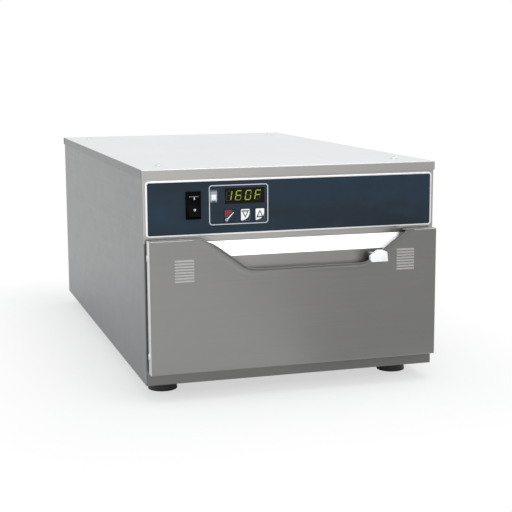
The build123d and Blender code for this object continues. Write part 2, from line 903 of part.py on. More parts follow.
def make_floor_insulation():
    top = base_z + liner_floor_h - liner_sheet - cable_diameter - 2 * running
    half = cover_width / 2 - foot_side_inset - foot_diameter / 2
    return block(-half, half, front_y + sheet + liner_sheet + insulation_gap, liner_back_y,
                 base_z + sheet, top)


def make_side_insulation():
    x0 = liner_half_width + liner_sheet + insulation_gap
    x1 = inner_x - insulation_gap
    y0 = front_y + sheet + liner_sheet + insulation_gap
    slab = block(x0, x1, y0, liner_back_y, base_z + apron_height + insulation_gap, tray_z - insulation_gap)
    for y in rail_screw_places():
        slab -= rod_x(x0, x1, y, rail_z, small_head * 0.75)
    return group(both_sides(slab))


def make_top_insulation():
    z0 = base_z + liner_top_h + liner_sheet
    x = liner_half_width + liner_sheet
    return block(-x, x, front_y + fascia_return + insulation_gap, liner_back_y, z0, tray_z)


def make_back_insulation():
    y0 = liner_back_y + liner_sheet
    x = liner_half_width
    y1 = y0 + back_insulation
    slab = block(-x, x, y0, y1, base_z + liner_floor_h + back_insulation_lift, base_z + liner_top_h)
    slab -= rod_y(0.0, y0, y1, rail_z, thermostat_base / 2 + back_insulation_lift / 2)
    slab -= rod_y(probe_x, y0, y1, base_z + probe_h, probe_diameter * 0.8)
    return slab


# ---- telescopic slides ----
# Three nested channels a side, drawn for the right-hand side. Each gap between
# flanges holds a row of balls with a small clearance.

def stage_gap():
    return ball_diameter + 2 * ball_gap


def middle_half():
    return rail_outer_height / 2 - rail_sheet - stage_gap()


def inner_half():
    return middle_half() - rail_sheet - stage_gap()


def middle_x():
    return liner_half_width - middle_inset


def channel(x_web, x_tip, half, y0, y1):
    """C-shaped channel: web at x_web, flanges running to x_tip."""
    x0, x1 = sorted((x_web, x_tip))
    body = block(x0, x1, y0, y1, rail_z - half, rail_z + half)
    web = rail_sheet if x_tip > x_web else -rail_sheet
    c0, c1 = sorted((x_web + web, x_tip))
    return body - block(c0, c1, y0, y1, rail_z - half + rail_sheet, rail_z + half - rail_sheet)


def make_outer_rail():
    body = channel(liner_half_width, rail_x + rail_tip, rail_outer_height / 2, rail_y, rail_y + rail_length)
    for y in rail_screw_places():
        body -= rod_x(liner_half_width - rail_sheet, liner_half_width, y, rail_z, small_hole())
    return body


def make_middle_rail():
    return channel(middle_x(), rail_x + rail_tip, middle_half(), rail_y, rail_y + rail_length)


def make_inner_rail():
    body = channel(rail_x, rail_x + inner_reach, inner_half(), rail_y, rail_y + rail_length)
    for y in rail_screw_places():
        body -= rod_x(rail_x, rail_x + rail_sheet, y, rail_z, small_hole())
    return body


def cage_length():
    return rail_length - drawer_travel / 2 - cage_margin


def ball_rows(x, half_inside):
    """Balls between a flange at half_inside and the flange outside it."""
    offset = half_inside + stage_gap() / 2
    y0 = rail_y + (rail_length - cage_length()) / 2
    pitch = cage_length() / balls_per_row
    balls = []
    for sz in (-1, 1):
        for i in range(balls_per_row):
            balls.append(Pos(x, y0 + pitch * (i + 0.5), rail_z + sz * offset) * Sphere(ball_diameter / 2))
    return balls


def make_cage(x_web, x_ball, half_inside):
    """Retainer strip folded round the inner member, with its balls."""
    offset = half_inside + stage_gap() / 2
    y0 = rail_y + (rail_length - cage_length()) / 2
    y1 = y0 + cage_length()
    t = cage_sheet
    retainer = block(x_web - t, x_web, y0, y1, rail_z - offset - t / 2, rail_z + offset + t / 2)
    for sz in (-1, 1):
        z = rail_z + sz * offset
        retainer += block(x_ball - ball_diameter / 2 - t, x_web, y0, y1, z - t / 2, z + t / 2)
    balls = ball_rows(x_ball, half_inside)
    hole = ball_diameter / 2 + 2 * ball_gap
    for ball in balls:
        centre = ball.center()
        retainer -= rod_z(centre.X, centre.Y, centre.Z - t, centre.Z + t, hole)
    return [retainer] + balls


def make_cages(x_web, x_ball, half_inside):
    right = make_cage(x_web, x_ball, half_inside)
    return group(right + [mirror_x(piece) for piece in right])


def make_ball_cages_outer():
    x_web = liner_half_width - rail_sheet - cage_web_gap
    return make_cages(x_web, liner_half_width - outer_ball_inset, middle_half())


def make_ball_cages_inner():
    x_web = middle_x() - rail_sheet - cage_web_gap
    return make_cages(x_web, liner_half_width - inner_ball_inset, inner_half())


def make_cabinet_rail_screws():
    """Flat-headed screws through liner and rail; their heads are outside the liner."""
    screws = []
    x = liner_half_width + liner_sheet
    for y in rail_screw_places():
        screw = small_screw(x, y, rail_z, (1, 0, 0), liner_sheet + rail_sheet)
        screws.extend(both_sides(screw))
    return group(screws)


def make_drawer_rail_screws():
    screws = []
    for y in rail_screw_places():
        screw = small_screw(frame_x, y, rail_z, (-1, 0, 0), frame_sheet + rail_sheet)
        screws.extend(both_sides(screw))
    return group(screws)


# ---- drawer front ----

def scoop_slope():
    return math.atan(scoop_rise)


def scoop_cut(y0, y1):
    """Everything above the visible edge of the scoop, as a solid between two depths."""
    z_lip = base_z + scoop_lip_h
    z_top = base_z + door_top_h
    run = scoop_top_radius * math.tan(scoop_slope() / 2)
    far = scoop_half_top + 1.5 * run
    high = z_top + scoop_depth
    left = scoop_x - far
    right = scoop_x + far
    points = [
        (left, z_top), (scoop_x - scoop_half_top, z_top), (scoop_x - scoop_half_bottom, z_lip),
        (scoop_x + scoop_half_bottom, z_lip), (scoop_x + scoop_half_top, z_top), (right, z_top),
    ]
    radii = [scoop_top_radius, scoop_lip_radius, scoop_lip_radius, scoop_top_radius]
    edge = FilletPolyline([(x, y0, z) for x, z in points], radius=radii)
    rest = Polyline([(right, y0, z_top), (right, y0, high), (left, y0, high), (left, y0, z_top)])
    face = make_face(Wire(edge.edges() + rest.edges()))
    return extrude(face, y1 - y0, dir=(0, 1, 0))


def flare_width():
    return flare_radius * math.sin(math.radians(flare_angle))


def flare_base_path(y):
    """Line where the flare leaves the flat skin: the scoop's edge moved outward by the flare."""
    w = flare_width()
    slope = scoop_slope()
    z_lip = base_z + scoop_lip_h - w
    shift = w * math.tan(slope / 2)
    bottom = scoop_half_bottom + shift
    beyond = scoop_depth
    top = bottom + (door_top_h - scoop_lip_h + w + beyond) / math.tan(slope)
    z_end = base_z + door_top_h + beyond
    points = [
        (scoop_x - top, y, z_end), (scoop_x - bottom, y, z_lip),
        (scoop_x + bottom, y, z_lip), (scoop_x + top, y, z_end),
    ]
    return FilletPolyline(points, radius=scoop_lip_radius + w), points


def make_flare():
    """Lip bent outward round the scoop, swept along its base line and fading out at the top."""
    path, points = flare_base_path(door_skin_y)
    start = Vector(*points[0])
    along = (Vector(*points[1]) - start).normalized()
    inward = Vector(0, 1, 0).cross(along)
    if inward.X < 0:
        inward = inward * -1
    section_plane = Plane(origin=start, x_dir=inward, z_dir=along)
    forward = -1.0 if section_plane.y_dir.Y > 0 else 1.0
    r0 = flare_radius - door_sheet
    r1 = flare_radius
    a = math.radians(flare_angle)
    centre = forward * flare_radius

    def point(radius, angle):
        return radius * math.sin(angle), centre - forward * radius * math.cos(angle)

    outer = ThreePointArc(point(r1, 0), point(r1, a / 2), point(r1, a))
    tip = Line(point(r1, a), point(r0, a))
    inner = ThreePointArc(point(r0, a), point(r0, a / 2), point(r0, 0))
    foot = Line(point(r0, 0), point(r1, 0))
    section = section_plane * make_face(Wire([outer, tip, inner, foot]))
    lip = sweep(section, path=path)
    z_top = base_z + door_top_h
    far = scoop_half_top * 2
    lip -= block(-far, far, door_front_y - flare_radius * 2, door_rear_y, z_top, z_top + far)
    return lip - scoop_cut(door_front_y - flare_radius * 2, door_rear_y)


def flare_opening(y0, y1):
    """The part of the skin that the flare replaces, inside its base line."""
    path, points = flare_base_path(y0)
    right = points[-1]
    left = points[0]
    lid = Line(right, left)
    face = make_face(Wire(path.edges() + lid.edges()))
    return extrude(face, y1 - y0, dir=(0, 1, 0))


def louvre_rows():
    middle = (louvre_count - 1) / 2
    return [base_z + louvre_h + (i - middle) * louvre_pitch for i in range(louvre_count)]


def make_drawer_face():
    z0 = base_z + door_bottom_h
    z1 = base_z + door_top_h
    x = door_half_width
    t = door_sheet
    body = block(-x, x, door_front_y, door_rear_y, z0, z1)
    front_edges = body.faces().sort_by(Axis.Y)[0].edges()
    body = fillet(front_edges, door_edge)
    body -= block(-x + t, x - t, door_skin_y, door_rear_y, z0 + t, z1 - t)
    body -= scoop_cut(door_front_y, door_rear_y)
    body -= flare_opening(door_front_y, door_skin_y)
    body += make_flare()
    for sx in (-1, 1):
        x0 = sx * louvre_x - louvre_width / 2
        x1 = sx * louvre_x + louvre_width / 2
        for z in louvre_rows():
            hood = [
                (door_front_y, z + louvre_hood / 2), (door_front_y - louvre_proud, z - louvre_hood / 2),
                (door_front_y - louvre_proud + louvre_sheet, z - louvre_hood / 2),
                (door_skin_y, z + louvre_hood / 2),
            ]
            body -= block(x0 + louvre_side_gap, x1 - louvre_side_gap, door_front_y, door_skin_y,
                          z - louvre_hood / 2, z - louvre_hood / 2 + louvre_slot)
            body += profile_along_x(hood, x0, x1)
    for h in side_screw_h:
        body -= rod_x(-x, -x + t, side_screw_y(), base_z + h, small_hole())
        body -= rod_x(x - t, x, side_screw_y(), base_z + h, small_hole())
    return body


def side_screw_y():
    return door_front_y + door_return * side_screw_share


def make_door_side_screws():
    screws = []
    for h in side_screw_h:
        screw = pan_head(door_half_width, side_screw_y(), base_z + h, (1, 0, 0),
                         side_screw_head, side_screw_head_thick, small_shank, side_screw_length)
        screws.extend(both_sides(screw))
    return group(screws)


def make_inner_panel():
    x = door_half_width - door_sheet
    z0 = base_z + door_bottom_h + door_sheet
    z1 = base_z + door_top_h - door_sheet
    panel = block(-x, x, inner_panel_y, door_rear_y, z0, z1)
    panel -= block(-trough_half_width - slip, trough_half_width + slip, inner_panel_y, door_rear_y,
                   base_z + trough_bend_h - slip, z1)
    w = louvre_width / 2 - 2 * louvre_side_gap
    for sx in (-1, 1):
        for z in louvre_rows():
            panel -= block(sx * louvre_x - w, sx * louvre_x + w, inner_panel_y, door_rear_y,
                           z - louvre_slot, z + louvre_slot)
    for sx in (-1, 1):
        x0, x1 = sorted((sx * x, sx * (x - door_sheet)))
        panel += block(x0, x1, door_skin_y + door_edge, inner_panel_y,
                       z0 + inner_flange_margin, z1 - inner_flange_margin)
        for h in side_screw_h:
            panel -= rod_x(x0, x1, side_screw_y(), base_z + h, small_hole())
    for x, z in frame_screw_places():
        panel -= rod_y(x, inner_panel_y, door_rear_y, z, small_hole())
    return panel


def make_pull_trough():
    """Strip behind the lip, its floor, and the slope that rises back from it."""
    t = door_sheet
    y1 = inner_panel_y
    y0 = y1 - t
    floor = base_z + trough_floor_h
    bend = base_z + trough_bend_h
    top = base_z + trough_top_h
    body = block(strip_left, strip_right, door_skin_y, door_skin_y + t, floor - trough_hem, floor + t)
    body += block(strip_left, strip_right, door_skin_y, y1, floor, floor + t)
    body += block(strip_left, strip_right, y0, y1, floor, bend)
    flange_y = y0 + trough_run
    slope = [
        (y0, bend - slip), (y0, bend), (flange_y, top), (flange_y + t, top), (flange_y + t, top - t),
        (y1, bend - slip),
    ]
    body += profile_along_x(slope, -trough_half_width, trough_half_width)
    body += block(-trough_half_width, trough_half_width, flange_y, flange_y + t,
                  top - trough_rear_flange, top)
    return body


def make_door_insulation():
    x = door_half_width - door_wool_margin
    z0 = base_z + door_bottom_h + door_sheet + insulation_gap
    return block(-x, x, door_skin_y + insulation_gap, inner_panel_y - insulation_gap,
                 z0, base_z + trough_floor_h - door_wool_margin)


def make_door_bumpers():
    bumpers = []
    length = front_y - door_rear_y - slip
    for h in (door_bottom_h + bumper_margin, door_top_h - bumper_margin):
        bumper = rod_y(side_x - side_flange / 2, door_rear_y, door_rear_y + length, base_z + h,
                       bumper_diameter / 2)
        bumpers.extend(both_sides(bumper))
    return group(bumpers)


# ---- vent slide ----

def make_vent_slide():
    """Bar with a shutter behind each group of louvres, and the tab that carries the knob."""
    y1 = vent_y + vent_sheet
    half = louvre_width / 2 + shutter_margin
    z0 = base_z + vent_bar_h
    z1 = z0 + vent_bar_height
    low = z1 - shutter_lap
    high = louvre_rows()[-1] + louvre_hood / 2 + shutter_margin
    body = block(-louvre_x - half, louvre_x + half, vent_y, y1, z0, z1)
    for x in (-louvre_x, louvre_x):
        body += block(x - half, x + half, vent_y, y1, low, high)
    body += block(tab_left, tab_right, vent_y, y1, low, base_z + tab_top_h)
    return body + make_tab()


def make_tab():
    """Tab over the scoop's edge, with the upright end that the knob is pushed over."""
    top = base_z + tab_top_h
    tab = block(tab_left, tab_right, tab_plate_y, vent_y + vent_sheet, base_z + tab_bottom_h, top)
    return tab + block(tab_left, knob_right - knob_wall, tab_plate_y - vent_sheet, tab_plate_y,
                       top - tab_drop, top)


def make_vent_knob():
    """Moulded thumb knob with cut corners, pushed over the end of the slide's tab."""
    y0 = knob_front_y
    z0 = base_z + knob_bottom_h
    z1 = base_z + knob_top_h
    points = [
        (knob_left, z0 + knob_height * 0.21), (knob_left + knob_width * 0.1, z0), (knob_right, z0),
        (knob_right - knob_width * 0.05, z1 - knob_height * 0.2), (knob_right - knob_width / 3, z1),
        (knob_left + knob_width * 0.4, z1), (knob_left, z0 + knob_height * 0.52),
    ]
    face = make_face(Polyline([(x, y0, z) for x, z in points], close=True))
    body = extrude(face, knob_thick, dir=(0, 1, 0))
    body = fillet(body.faces().sort_by(Axis.Y)[0].edges(), knob_edge)
    return body - make_tab()


def make_vent_guides():
    """Small clips on the back of the skin, above and below the bar."""
    clips = []
    low = base_z + vent_bar_h
    high = low + vent_bar_height
    w = guide_half_width
    y0 = vent_y + vent_sheet + slip
    y1 = y0 + guide_sheet
    for x in guide_x:
        bottom = block(x - w, x + w, door_skin_y, y1, low - slip - guide_hook, low - slip)
        bottom += block(x - w, x + w, y0, y1, low - slip - guide_hook, low + guide_hook)
        top = block(x - w, x + w, door_skin_y, y1, high + slip, high + slip + guide_top)
        top += block(x - w, x + w, y0, y1, high - guide_hook, high + slip + guide_top)
        clips.extend([bottom, top])
    return group(clips)


# ---- drawer frame and pan ----

def frame_screw_places():
    x = frame_x - frame_screw_inset
    return [(sx * x, base_z + h) for sx in (-1, 1) for h in frame_screw_h]


def make_drawer_frame():
    """Two side plates with ledges for the pan, joined by a front and a rear cross member."""
    t = frame_sheet
    z0 = base_z + frame_bottom_h
    z1 = base_z + ledge_h
    end_y = rail_y + rail_length
    side = block(frame_x, rail_x, door_rear_y, end_y, z0, z1)
    side -= block(frame_x, rail_x, door_rear_y, cross_y, z1 - frame_step, z1)
    side += block(frame_x - ledge_width, rail_x, cross_y, end_y, z1 - t, z1)
    side += block(rail_x - frame_tab, rail_x, door_rear_y, door_rear_y + t, z0, z1 - frame_step)
    for y in rail_screw_places():
        side -= rod_x(frame_x, rail_x, y, rail_z, small_hole())
    for x, z in frame_screw_places():
        if x > 0:
            side -= rod_y(x, door_rear_y, door_rear_y + t, z, small_hole())
    frame = side + mirror_x(side)
    front_z1 = base_z + trough_top_h
    frame += block(-rail_x, rail_x, cross_y - t, cross_y, z1 - cross_height, front_z1)
    frame += block(-rail_x, rail_x, cross_y, cross_y + ledge_width, z1 - t, z1)
    frame += block(-rail_x, rail_x, frame_back_y, frame_back_y + t, z1 - cross_height, z1)
    frame += block(-rail_x, rail_x, frame_back_y - ledge_width, frame_back_y, z1 - t, z1)
    return frame


def make_drawer_frame_screws():
    screws = []
    for x, z in frame_screw_places():
        screws.append(small_screw(x, door_rear_y + frame_sheet, z, (0, 1, 0), frame_sheet + door_sheet))
    return group(screws)


def rounded_loft(length, width, shrink, z0, z1, corner):
    """Tapered block between z0 (small) and z1 (full size), centred on the pan."""
    y = pan_y + pan_length / 2
    top = Pos(0, y, z1) * RectangleRounded(width, length, corner)
    low = Pos(0, y, z0) * RectangleRounded(width - 2 * shrink, length - 2 * shrink, corner - shrink)
    return loft([low, top])


def make_food_pan():
    z1 = pan_top_z
    z0 = z1 - pan_depth
    width = pan_width - 2 * pan_rim
    length = pan_length - 2 * pan_rim
    t = pan_sheet
    outside = rounded_loft(length, width, pan_taper, z0, z1, pan_corner)
    outside = fillet(outside.faces().sort_by(Axis.Z)[0].edges(), pan_bottom_radius)
    inside = rounded_loft(length - 2 * t, width - 2 * t, pan_taper, z0 + t, z1, pan_corner - t)
    inside = fillet(inside.faces().sort_by(Axis.Z)[0].edges(), pan_bottom_radius - t)
    rim = RectangleRounded(pan_width, pan_length, pan_rim_corner)
    rim = extrude(Pos(0, pan_y + pan_length / 2, z1 - t) * rim, t)
    return outside + rim - inside


def make_parts():
    parts = {
        "top_cover": make_top_cover(),
        "base_pan": make_base_pan(),
        "side_panel_right": make_side_panel(),
        "side_panel_left": mirror_x(make_side_panel()),
        "front_fascia": make_front_fascia(),
        "back_panel": make_back_panel(),
        "top_cover_screws": make_cover_screws(),
        "back_panel_screws": make_back_screws(),
        "rubber_feet": make_rubber_feet(),
        "foot_bolts": make_foot_bolts(),
        "panel_trim": make_panel_trim(),
        "control_overlay": make_control_overlay(),
        "controller_frame": make_controller_frame(),
        "controller_housing": make_controller_housing(),
        "display_window": make_display_window(),
        "indicator_lens": make_indicator_lens(),
        "rocker_housing": make_rocker_housing(),
        "rocker_pin": make_rocker_pin(),
        "rocker_paddle": make_rocker_paddle(),
        "component_tray": make_component_tray(),
        "board_standoffs": make_board_standoffs(),
        "control_board": make_control_board(),
        "transformer": make_transformer(),
        "power_relay": make_power_relay(),
        "terminal_block": make_terminal_block(),
        "high_limit_thermostat": make_thermostat(),
        "temperature_probe": make_probe(),
        "cord_gland": make_cord_gland(),
        "gland_nut": make_gland_nut(),
        "cavity_liner": make_cavity_liner(),
        "heating_cable": make_heating_cable(),
        "floor_insulation": make_floor_insulation(),
        "side_insulation": make_side_insulation(),
        "top_insulation": make_top_insulation(),
        "back_insulation": make_back_insulation(),
        "outer_rail_right": make_outer_rail(),
        "outer_rail_left": mirror_x(make_outer_rail()),
        "middle_rail_right": make_middle_rail(),
        "middle_rail_left": mirror_x(make_middle_rail()),
        "inner_rail_right": make_inner_rail(),
        "inner_rail_left": mirror_x(make_inner_rail()),
        "ball_cages_outer": make_ball_cages_outer(),
        "ball_cages_inner": make_ball_cages_inner(),
        "cabinet_rail_screws": make_cabinet_rail_screws(),
        "drawer_rail_screws": make_drawer_rail_screws(),
        "drawer_face": make_drawer_face(),
        "door_side_screws": make_door_side_screws(),
        "drawer_inner_panel": make_inner_panel(),
        "pull_trough": make_pull_trough(),
        "door_insulation": make_door_insulation(),
        "door_bumpers": make_door_bumpers(),
        "vent_slide": make_vent_slide(),
        "vent_knob": make_vent_knob(),
        "vent_guides": make_vent_guides(),
        "drawer_frame": make_drawer_frame(),
        "drawer_frame_screws": make_drawer_frame_screws(),
        "food_pan": make_food_pan(),
    }
    for name, offset in key_right.items():
        parts[name] = make_key(controller_x + offset)
    return parts


os.makedirs("parts", exist_ok=True)
for name, part in make_parts().items():
    export_step(part, os.path.join("parts", name + ".step"))
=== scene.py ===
import json
import math

import bmesh
import bpy
from mathutils import Matrix, Vector


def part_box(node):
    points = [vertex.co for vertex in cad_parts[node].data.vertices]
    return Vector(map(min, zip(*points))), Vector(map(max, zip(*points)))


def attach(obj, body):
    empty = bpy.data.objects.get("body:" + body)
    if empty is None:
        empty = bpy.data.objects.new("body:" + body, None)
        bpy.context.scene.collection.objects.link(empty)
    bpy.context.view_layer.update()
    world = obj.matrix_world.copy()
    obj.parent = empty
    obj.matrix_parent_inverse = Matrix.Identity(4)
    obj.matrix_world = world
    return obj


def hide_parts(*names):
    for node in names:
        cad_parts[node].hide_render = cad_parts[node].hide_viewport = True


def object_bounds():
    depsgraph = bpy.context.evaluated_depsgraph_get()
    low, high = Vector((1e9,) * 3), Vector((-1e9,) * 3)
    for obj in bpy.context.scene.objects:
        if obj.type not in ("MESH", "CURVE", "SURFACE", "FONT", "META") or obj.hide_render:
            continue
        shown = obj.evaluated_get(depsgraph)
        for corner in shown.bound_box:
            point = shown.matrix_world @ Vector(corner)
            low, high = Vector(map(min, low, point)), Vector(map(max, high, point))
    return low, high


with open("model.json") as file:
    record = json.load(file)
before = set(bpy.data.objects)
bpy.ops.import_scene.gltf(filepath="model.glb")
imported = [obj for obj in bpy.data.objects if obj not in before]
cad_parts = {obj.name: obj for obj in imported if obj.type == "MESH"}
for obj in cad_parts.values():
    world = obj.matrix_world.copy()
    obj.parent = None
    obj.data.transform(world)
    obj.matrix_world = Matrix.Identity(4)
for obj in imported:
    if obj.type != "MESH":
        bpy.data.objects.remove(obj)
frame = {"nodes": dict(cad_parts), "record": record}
cad_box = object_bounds()
nodes = frame["nodes"]
MM = 0.001


# ---- camera ----

CAMERA_AZIMUTH = -16.9392
CAMERA_ELEVATION = 9.2853
CAMERA_ROLL = -0.3068
CAMERA_DISTANCE = 1.6128
CAMERA_TARGET = Vector((-0.05344, -0.34775, 0.18937))
CAMERA_LENS = 84.15
CAMERA_SENSOR = 36.0


def make_camera():
    az, el, roll = (math.radians(v) for v in (CAMERA_AZIMUTH, CAMERA_ELEVATION, CAMERA_ROLL))
    back = Vector((math.sin(az) * math.cos(el), -math.cos(az) * math.cos(el), math.sin(el)))
    right = (-back).cross(Vector((0, 0, 1))).normalized()
    up = right.cross(-back)
    side = math.cos(roll) * right + math.sin(roll) * up
    top = math.cos(roll) * up - math.sin(roll) * right
    data = bpy.data.cameras.new("camera")
    data.lens = CAMERA_LENS
    data.sensor_width = CAMERA_SENSOR
    camera = bpy.data.objects.new("camera", data)
    turn = Matrix((side, top, back)).transposed().to_4x4()
    camera.matrix_world = Matrix.Translation(CAMERA_TARGET + back * CAMERA_DISTANCE) @ turn
    bpy.context.scene.collection.objects.link(camera)
    bpy.context.scene.camera = camera


# ---- node helpers ----

class Shader:
    """A material's node tree with a Principled shader, and short calls that add to it."""

    def __init__(self, name):
        self.material = bpy.data.materials.new(name)
        self.material.use_nodes = True
        self.nodes = self.material.node_tree.nodes
        self.links = self.material.node_tree.links
        self.principled = self.nodes["Principled BSDF"]

    def set(self, **values):
        for name, value in values.items():
            self.principled.inputs[name.replace("_", " ")].default_value = value
        return self

    def add(self, kind, **settings):
        node = self.nodes.new(kind)
        for name, value in settings.items():
            setattr(node, name, value)
        return node

    def link(self, source, target):
        self.links.new(source, target)

    def place(self, stretch=(1, 1, 1)):
        """Object coordinates, squeezed along the axes where stretch is large."""
        coordinates = self.add("ShaderNodeTexCoord")
        mapping = self.add("ShaderNodeMapping")
        mapping.inputs["Scale"].default_value = stretch
        self.link(coordinates.outputs["Object"], mapping.inputs["Vector"])
        return mapping.outputs["Vector"]

    def axes(self, kind="Object"):
        """X, Y and Z of the object coordinates, or of another output of that node."""
        coordinates = self.add("ShaderNodeTexCoord")
        split = self.add("ShaderNodeSeparateXYZ")
        self.link(coordinates.outputs[kind], split.inputs["Vector"])
        return split.outputs

    def noise(self, vector, scale, detail=3.0, roughness=0.5):
        noise = self.add("ShaderNodeTexNoise")
        noise.inputs["Scale"].default_value = scale
        noise.inputs["Detail"].default_value = detail
        noise.inputs["Roughness"].default_value = roughness
        self.link(vector, noise.inputs["Vector"])
        return noise.outputs["Fac"]

    def spread(self, value, low, high, start=0.3, end=0.7):
        """Maps a value from start..end to low..high."""
        node = self.add("ShaderNodeMapRange")
        node.inputs["From Min"].default_value = start
        node.inputs["From Max"].default_value = end
        node.inputs["To Min"].default_value = low
        node.inputs["To Max"].default_value = high
        self.link(value, node.inputs["Value"])
        return node.outputs["Result"]

    def ramp(self, value, *stops):
        """Colour ramp with (position, (r, g, b)) stops."""
        node = self.add("ShaderNodeValToRGB")
        elements = node.color_ramp.elements
        while len(elements) < len(stops):
            elements.new(0.5)
        for element, (position, colour) in zip(elements, stops):
            element.position = position
            element.color = (*colour, 1)
        self.link(value, node.inputs["Fac"])
        return node.outputs["Color"]

    def math(self, operation, a, b):
        node = self.add("ShaderNodeMath", operation=operation)
        for socket, value in zip(node.inputs, (a, b)):
            if isinstance(value, (int, float)):
                socket.default_value = value
            else:
                self.link(value, socket)
        return node.outputs["Value"]

    def blend(self, first, second, share):
        """Sum of two values, with a share of the first and the rest of the second."""
        return self.math("ADD", self.math("MULTIPLY", first, share),
                         self.math("MULTIPLY", second, 1 - share))

    def facing(self, axis, start, end):
        """0 to 1 as the surface turns to face along an axis of the object."""
        size = self.math("ABSOLUTE", self.axes("Normal")[axis], 0.0)
        return self.spread(size, 0.0, 1.0, start, end)

    def mix(self, factor, first, second):
        node = self.add("ShaderNodeMix", data_type="RGBA")
        self.link(factor, node.inputs[0])
        self.link(first, node.inputs[6])
        self.link(second, node.inputs[7])
        return node.outputs[2]

    def bump(self, height, strength, distance):
        node = self.add("ShaderNodeBump")
        node.inputs["Strength"].default_value = strength
        node.inputs["Distance"].default_value = distance
        self.link(height, node.inputs["Height"])
        self.link(node.outputs["Normal"], self.principled.inputs["Normal"])

    def feed(self, socket, value):
        self.link(value, self.principled.inputs[socket])


def shade(colour, factor):
    return tuple(min(1.0, c * factor) for c in colour)


# ---- materials ----

# one stainless sheet in lit and shaded copies: the colours below, up to the cavity's, are painted lighter or
# darker per part and per facing as painted light and shade
STEEL_FRONT = (0.284, 0.281, 0.274)
STEEL_RETURN_PAINTED_HIGHLIGHT = (0.80, 0.80, 0.79)
STEEL_COOL = (0.215, 0.219, 0.223)
STEEL_EDGE_PAINTED_LIGHT = (0.46, 0.46, 0.455)
STEEL_SLOPE_PAINTED_HIGHLIGHT = (0.82, 0.82, 0.81)
STEEL_LID_TOP_PAINTED_LIGHT = (0.72, 0.74, 0.745)
STEEL_FLANGE = (0.46, 0.455, 0.44)
STEEL_BAND = (0.49, 0.48, 0.46)
STEEL_APRON_PAINTED_SHADE = (0.185, 0.182, 0.178)
STEEL_PULL = (0.37, 0.365, 0.355)
STEEL_CAVITY = (0.52, 0.52, 0.51)
PANEL_BLUE = (0.018, 0.036, 0.056)
BOARD_DARK = (0.01, 0.09, 0.04)
BOARD_LIGHT = (0.03, 0.20, 0.09)
LAMINATION_DARK = (0.05, 0.035, 0.02)
LAMINATION_LIGHT = (0.16, 0.11, 0.06)
GRAIN_ALONG_X = (6.0, 900.0, 900.0)
GRAIN_ALONG_Y = (900.0, 6.0, 900.0)
GENTLE_TILT = (0.45, 0.85)
EARLY_TILT = (0.2, 0.35)

# shares of the indicator lens's height, from its foot, and the colour at each: a light band round the lamp
# as painted lamp glow, darker bands towards the foot and the top
LENS_PAINTED_GLOW_BANDS = (
    (0.0, (0.10, 0.12, 0.15)),
    (0.12, (0.26, 0.29, 0.33)),
    (0.20, (0.50, 0.53, 0.57)),
    (0.62, (0.50, 0.53, 0.57)),
    (0.68, (0.28, 0.31, 0.35)),
    (0.80, (0.38, 0.41, 0.45)),
    (0.86, (0.24, 0.27, 0.31)),
    (0.92, (0.10, 0.12, 0.15)),
)


def brushed_steel(name, colour, roughness, grain, top=None, side=None, tilt=GENTLE_TILT):
    """Sheet with a fine brushed grain, faint handling marks and a little cloudiness.

    top and side are colours painted on the faces that look up or down and sideways, as painted light and
    shade in place of the light that falls there, and tilt says how far a face has turned that way where the
    change begins and where it ends."""
    s = Shader(name).set(Metallic=1.0)
    lines = s.noise(s.place(grain), 1.0, detail=4.0, roughness=0.6)
    clouds = s.noise(s.place(), 5.0, detail=4.0)
    smudges = s.noise(s.place(), 38.0, detail=5.0, roughness=0.62)
    tone = s.blend(lines, clouds, 0.7)
    finish = s.ramp(tone, (0.3, shade(colour, 0.96)), (0.7, shade(colour, 1.04)))
    # painted light and shade: faces turned up, down or sideways take their own lighter or darker colour
    for axis, other in (("Z", top), ("X", side)):
        if other:
            turned = s.ramp(tone, (0.3, shade(other, 0.95)), (0.7, shade(other, 1.05)))
            finish = s.mix(s.facing(axis, *tilt), finish, turned)
    s.feed("Base Color", finish)
    rough = s.math("ADD", s.spread(lines, roughness - 0.03, roughness + 0.03),
                   s.spread(smudges, -0.015, 0.02))
    s.feed("Roughness", rough)
    s.bump(lines, 0.03, 0.0001)
    return s.material


def polished_steel(name, colour, roughness):
    s = Shader(name).set(Metallic=1.0)
    clouds = s.noise(s.place(), 60.0, detail=4.0)
    s.feed("Base Color", s.ramp(clouds, (0.3, shade(colour, 0.95)), (0.7, colour)))
    s.feed("Roughness", s.spread(clouds, roughness - 0.03, roughness + 0.05))
    return s.material


def moulded(name, colour, roughness, grain=900.0, depth=0.00004, specular=0.5):
    """Moulded plastic or rubber: fine grain, slight mottling."""
    s = Shader(name).set(Specular_IOR_Level=specular)
    texture = s.noise(s.place(), grain)
    mottle = s.noise(s.place(), 45.0)
    s.feed("Base Color", s.ramp(mottle, (0.3, shade(colour, 0.9)), (0.7, shade(colour, 1.08))))
    s.feed("Roughness", s.spread(mottle, roughness - 0.04, roughness + 0.05))
    s.bump(texture, 0.25, depth)
    return s.material


def overlay(name, colour, roughness, specular):
    """Printed film: fine matt texture and a slow change of tone across the panel."""
    s = Shader(name).set(Specular_IOR_Level=specular)
    slow = s.noise(s.place((1, 1, 3)), 7.0, detail=2.0)
    fine = s.noise(s.place(), 90.0)
    tone = s.blend(slow, fine, 0.8)
    grey = tuple(0.75 * c + 0.25 * colour[1] for c in colour)
    s.feed("Base Color", s.ramp(tone, (0.36, shade(grey, 0.80)), (0.62, shade(colour, 1.12))))
    s.feed("Roughness", s.spread(fine, roughness - 0.03, roughness + 0.04))
    s.bump(s.noise(s.place(), 1400.0), 0.2, 0.00002)
    return s.material


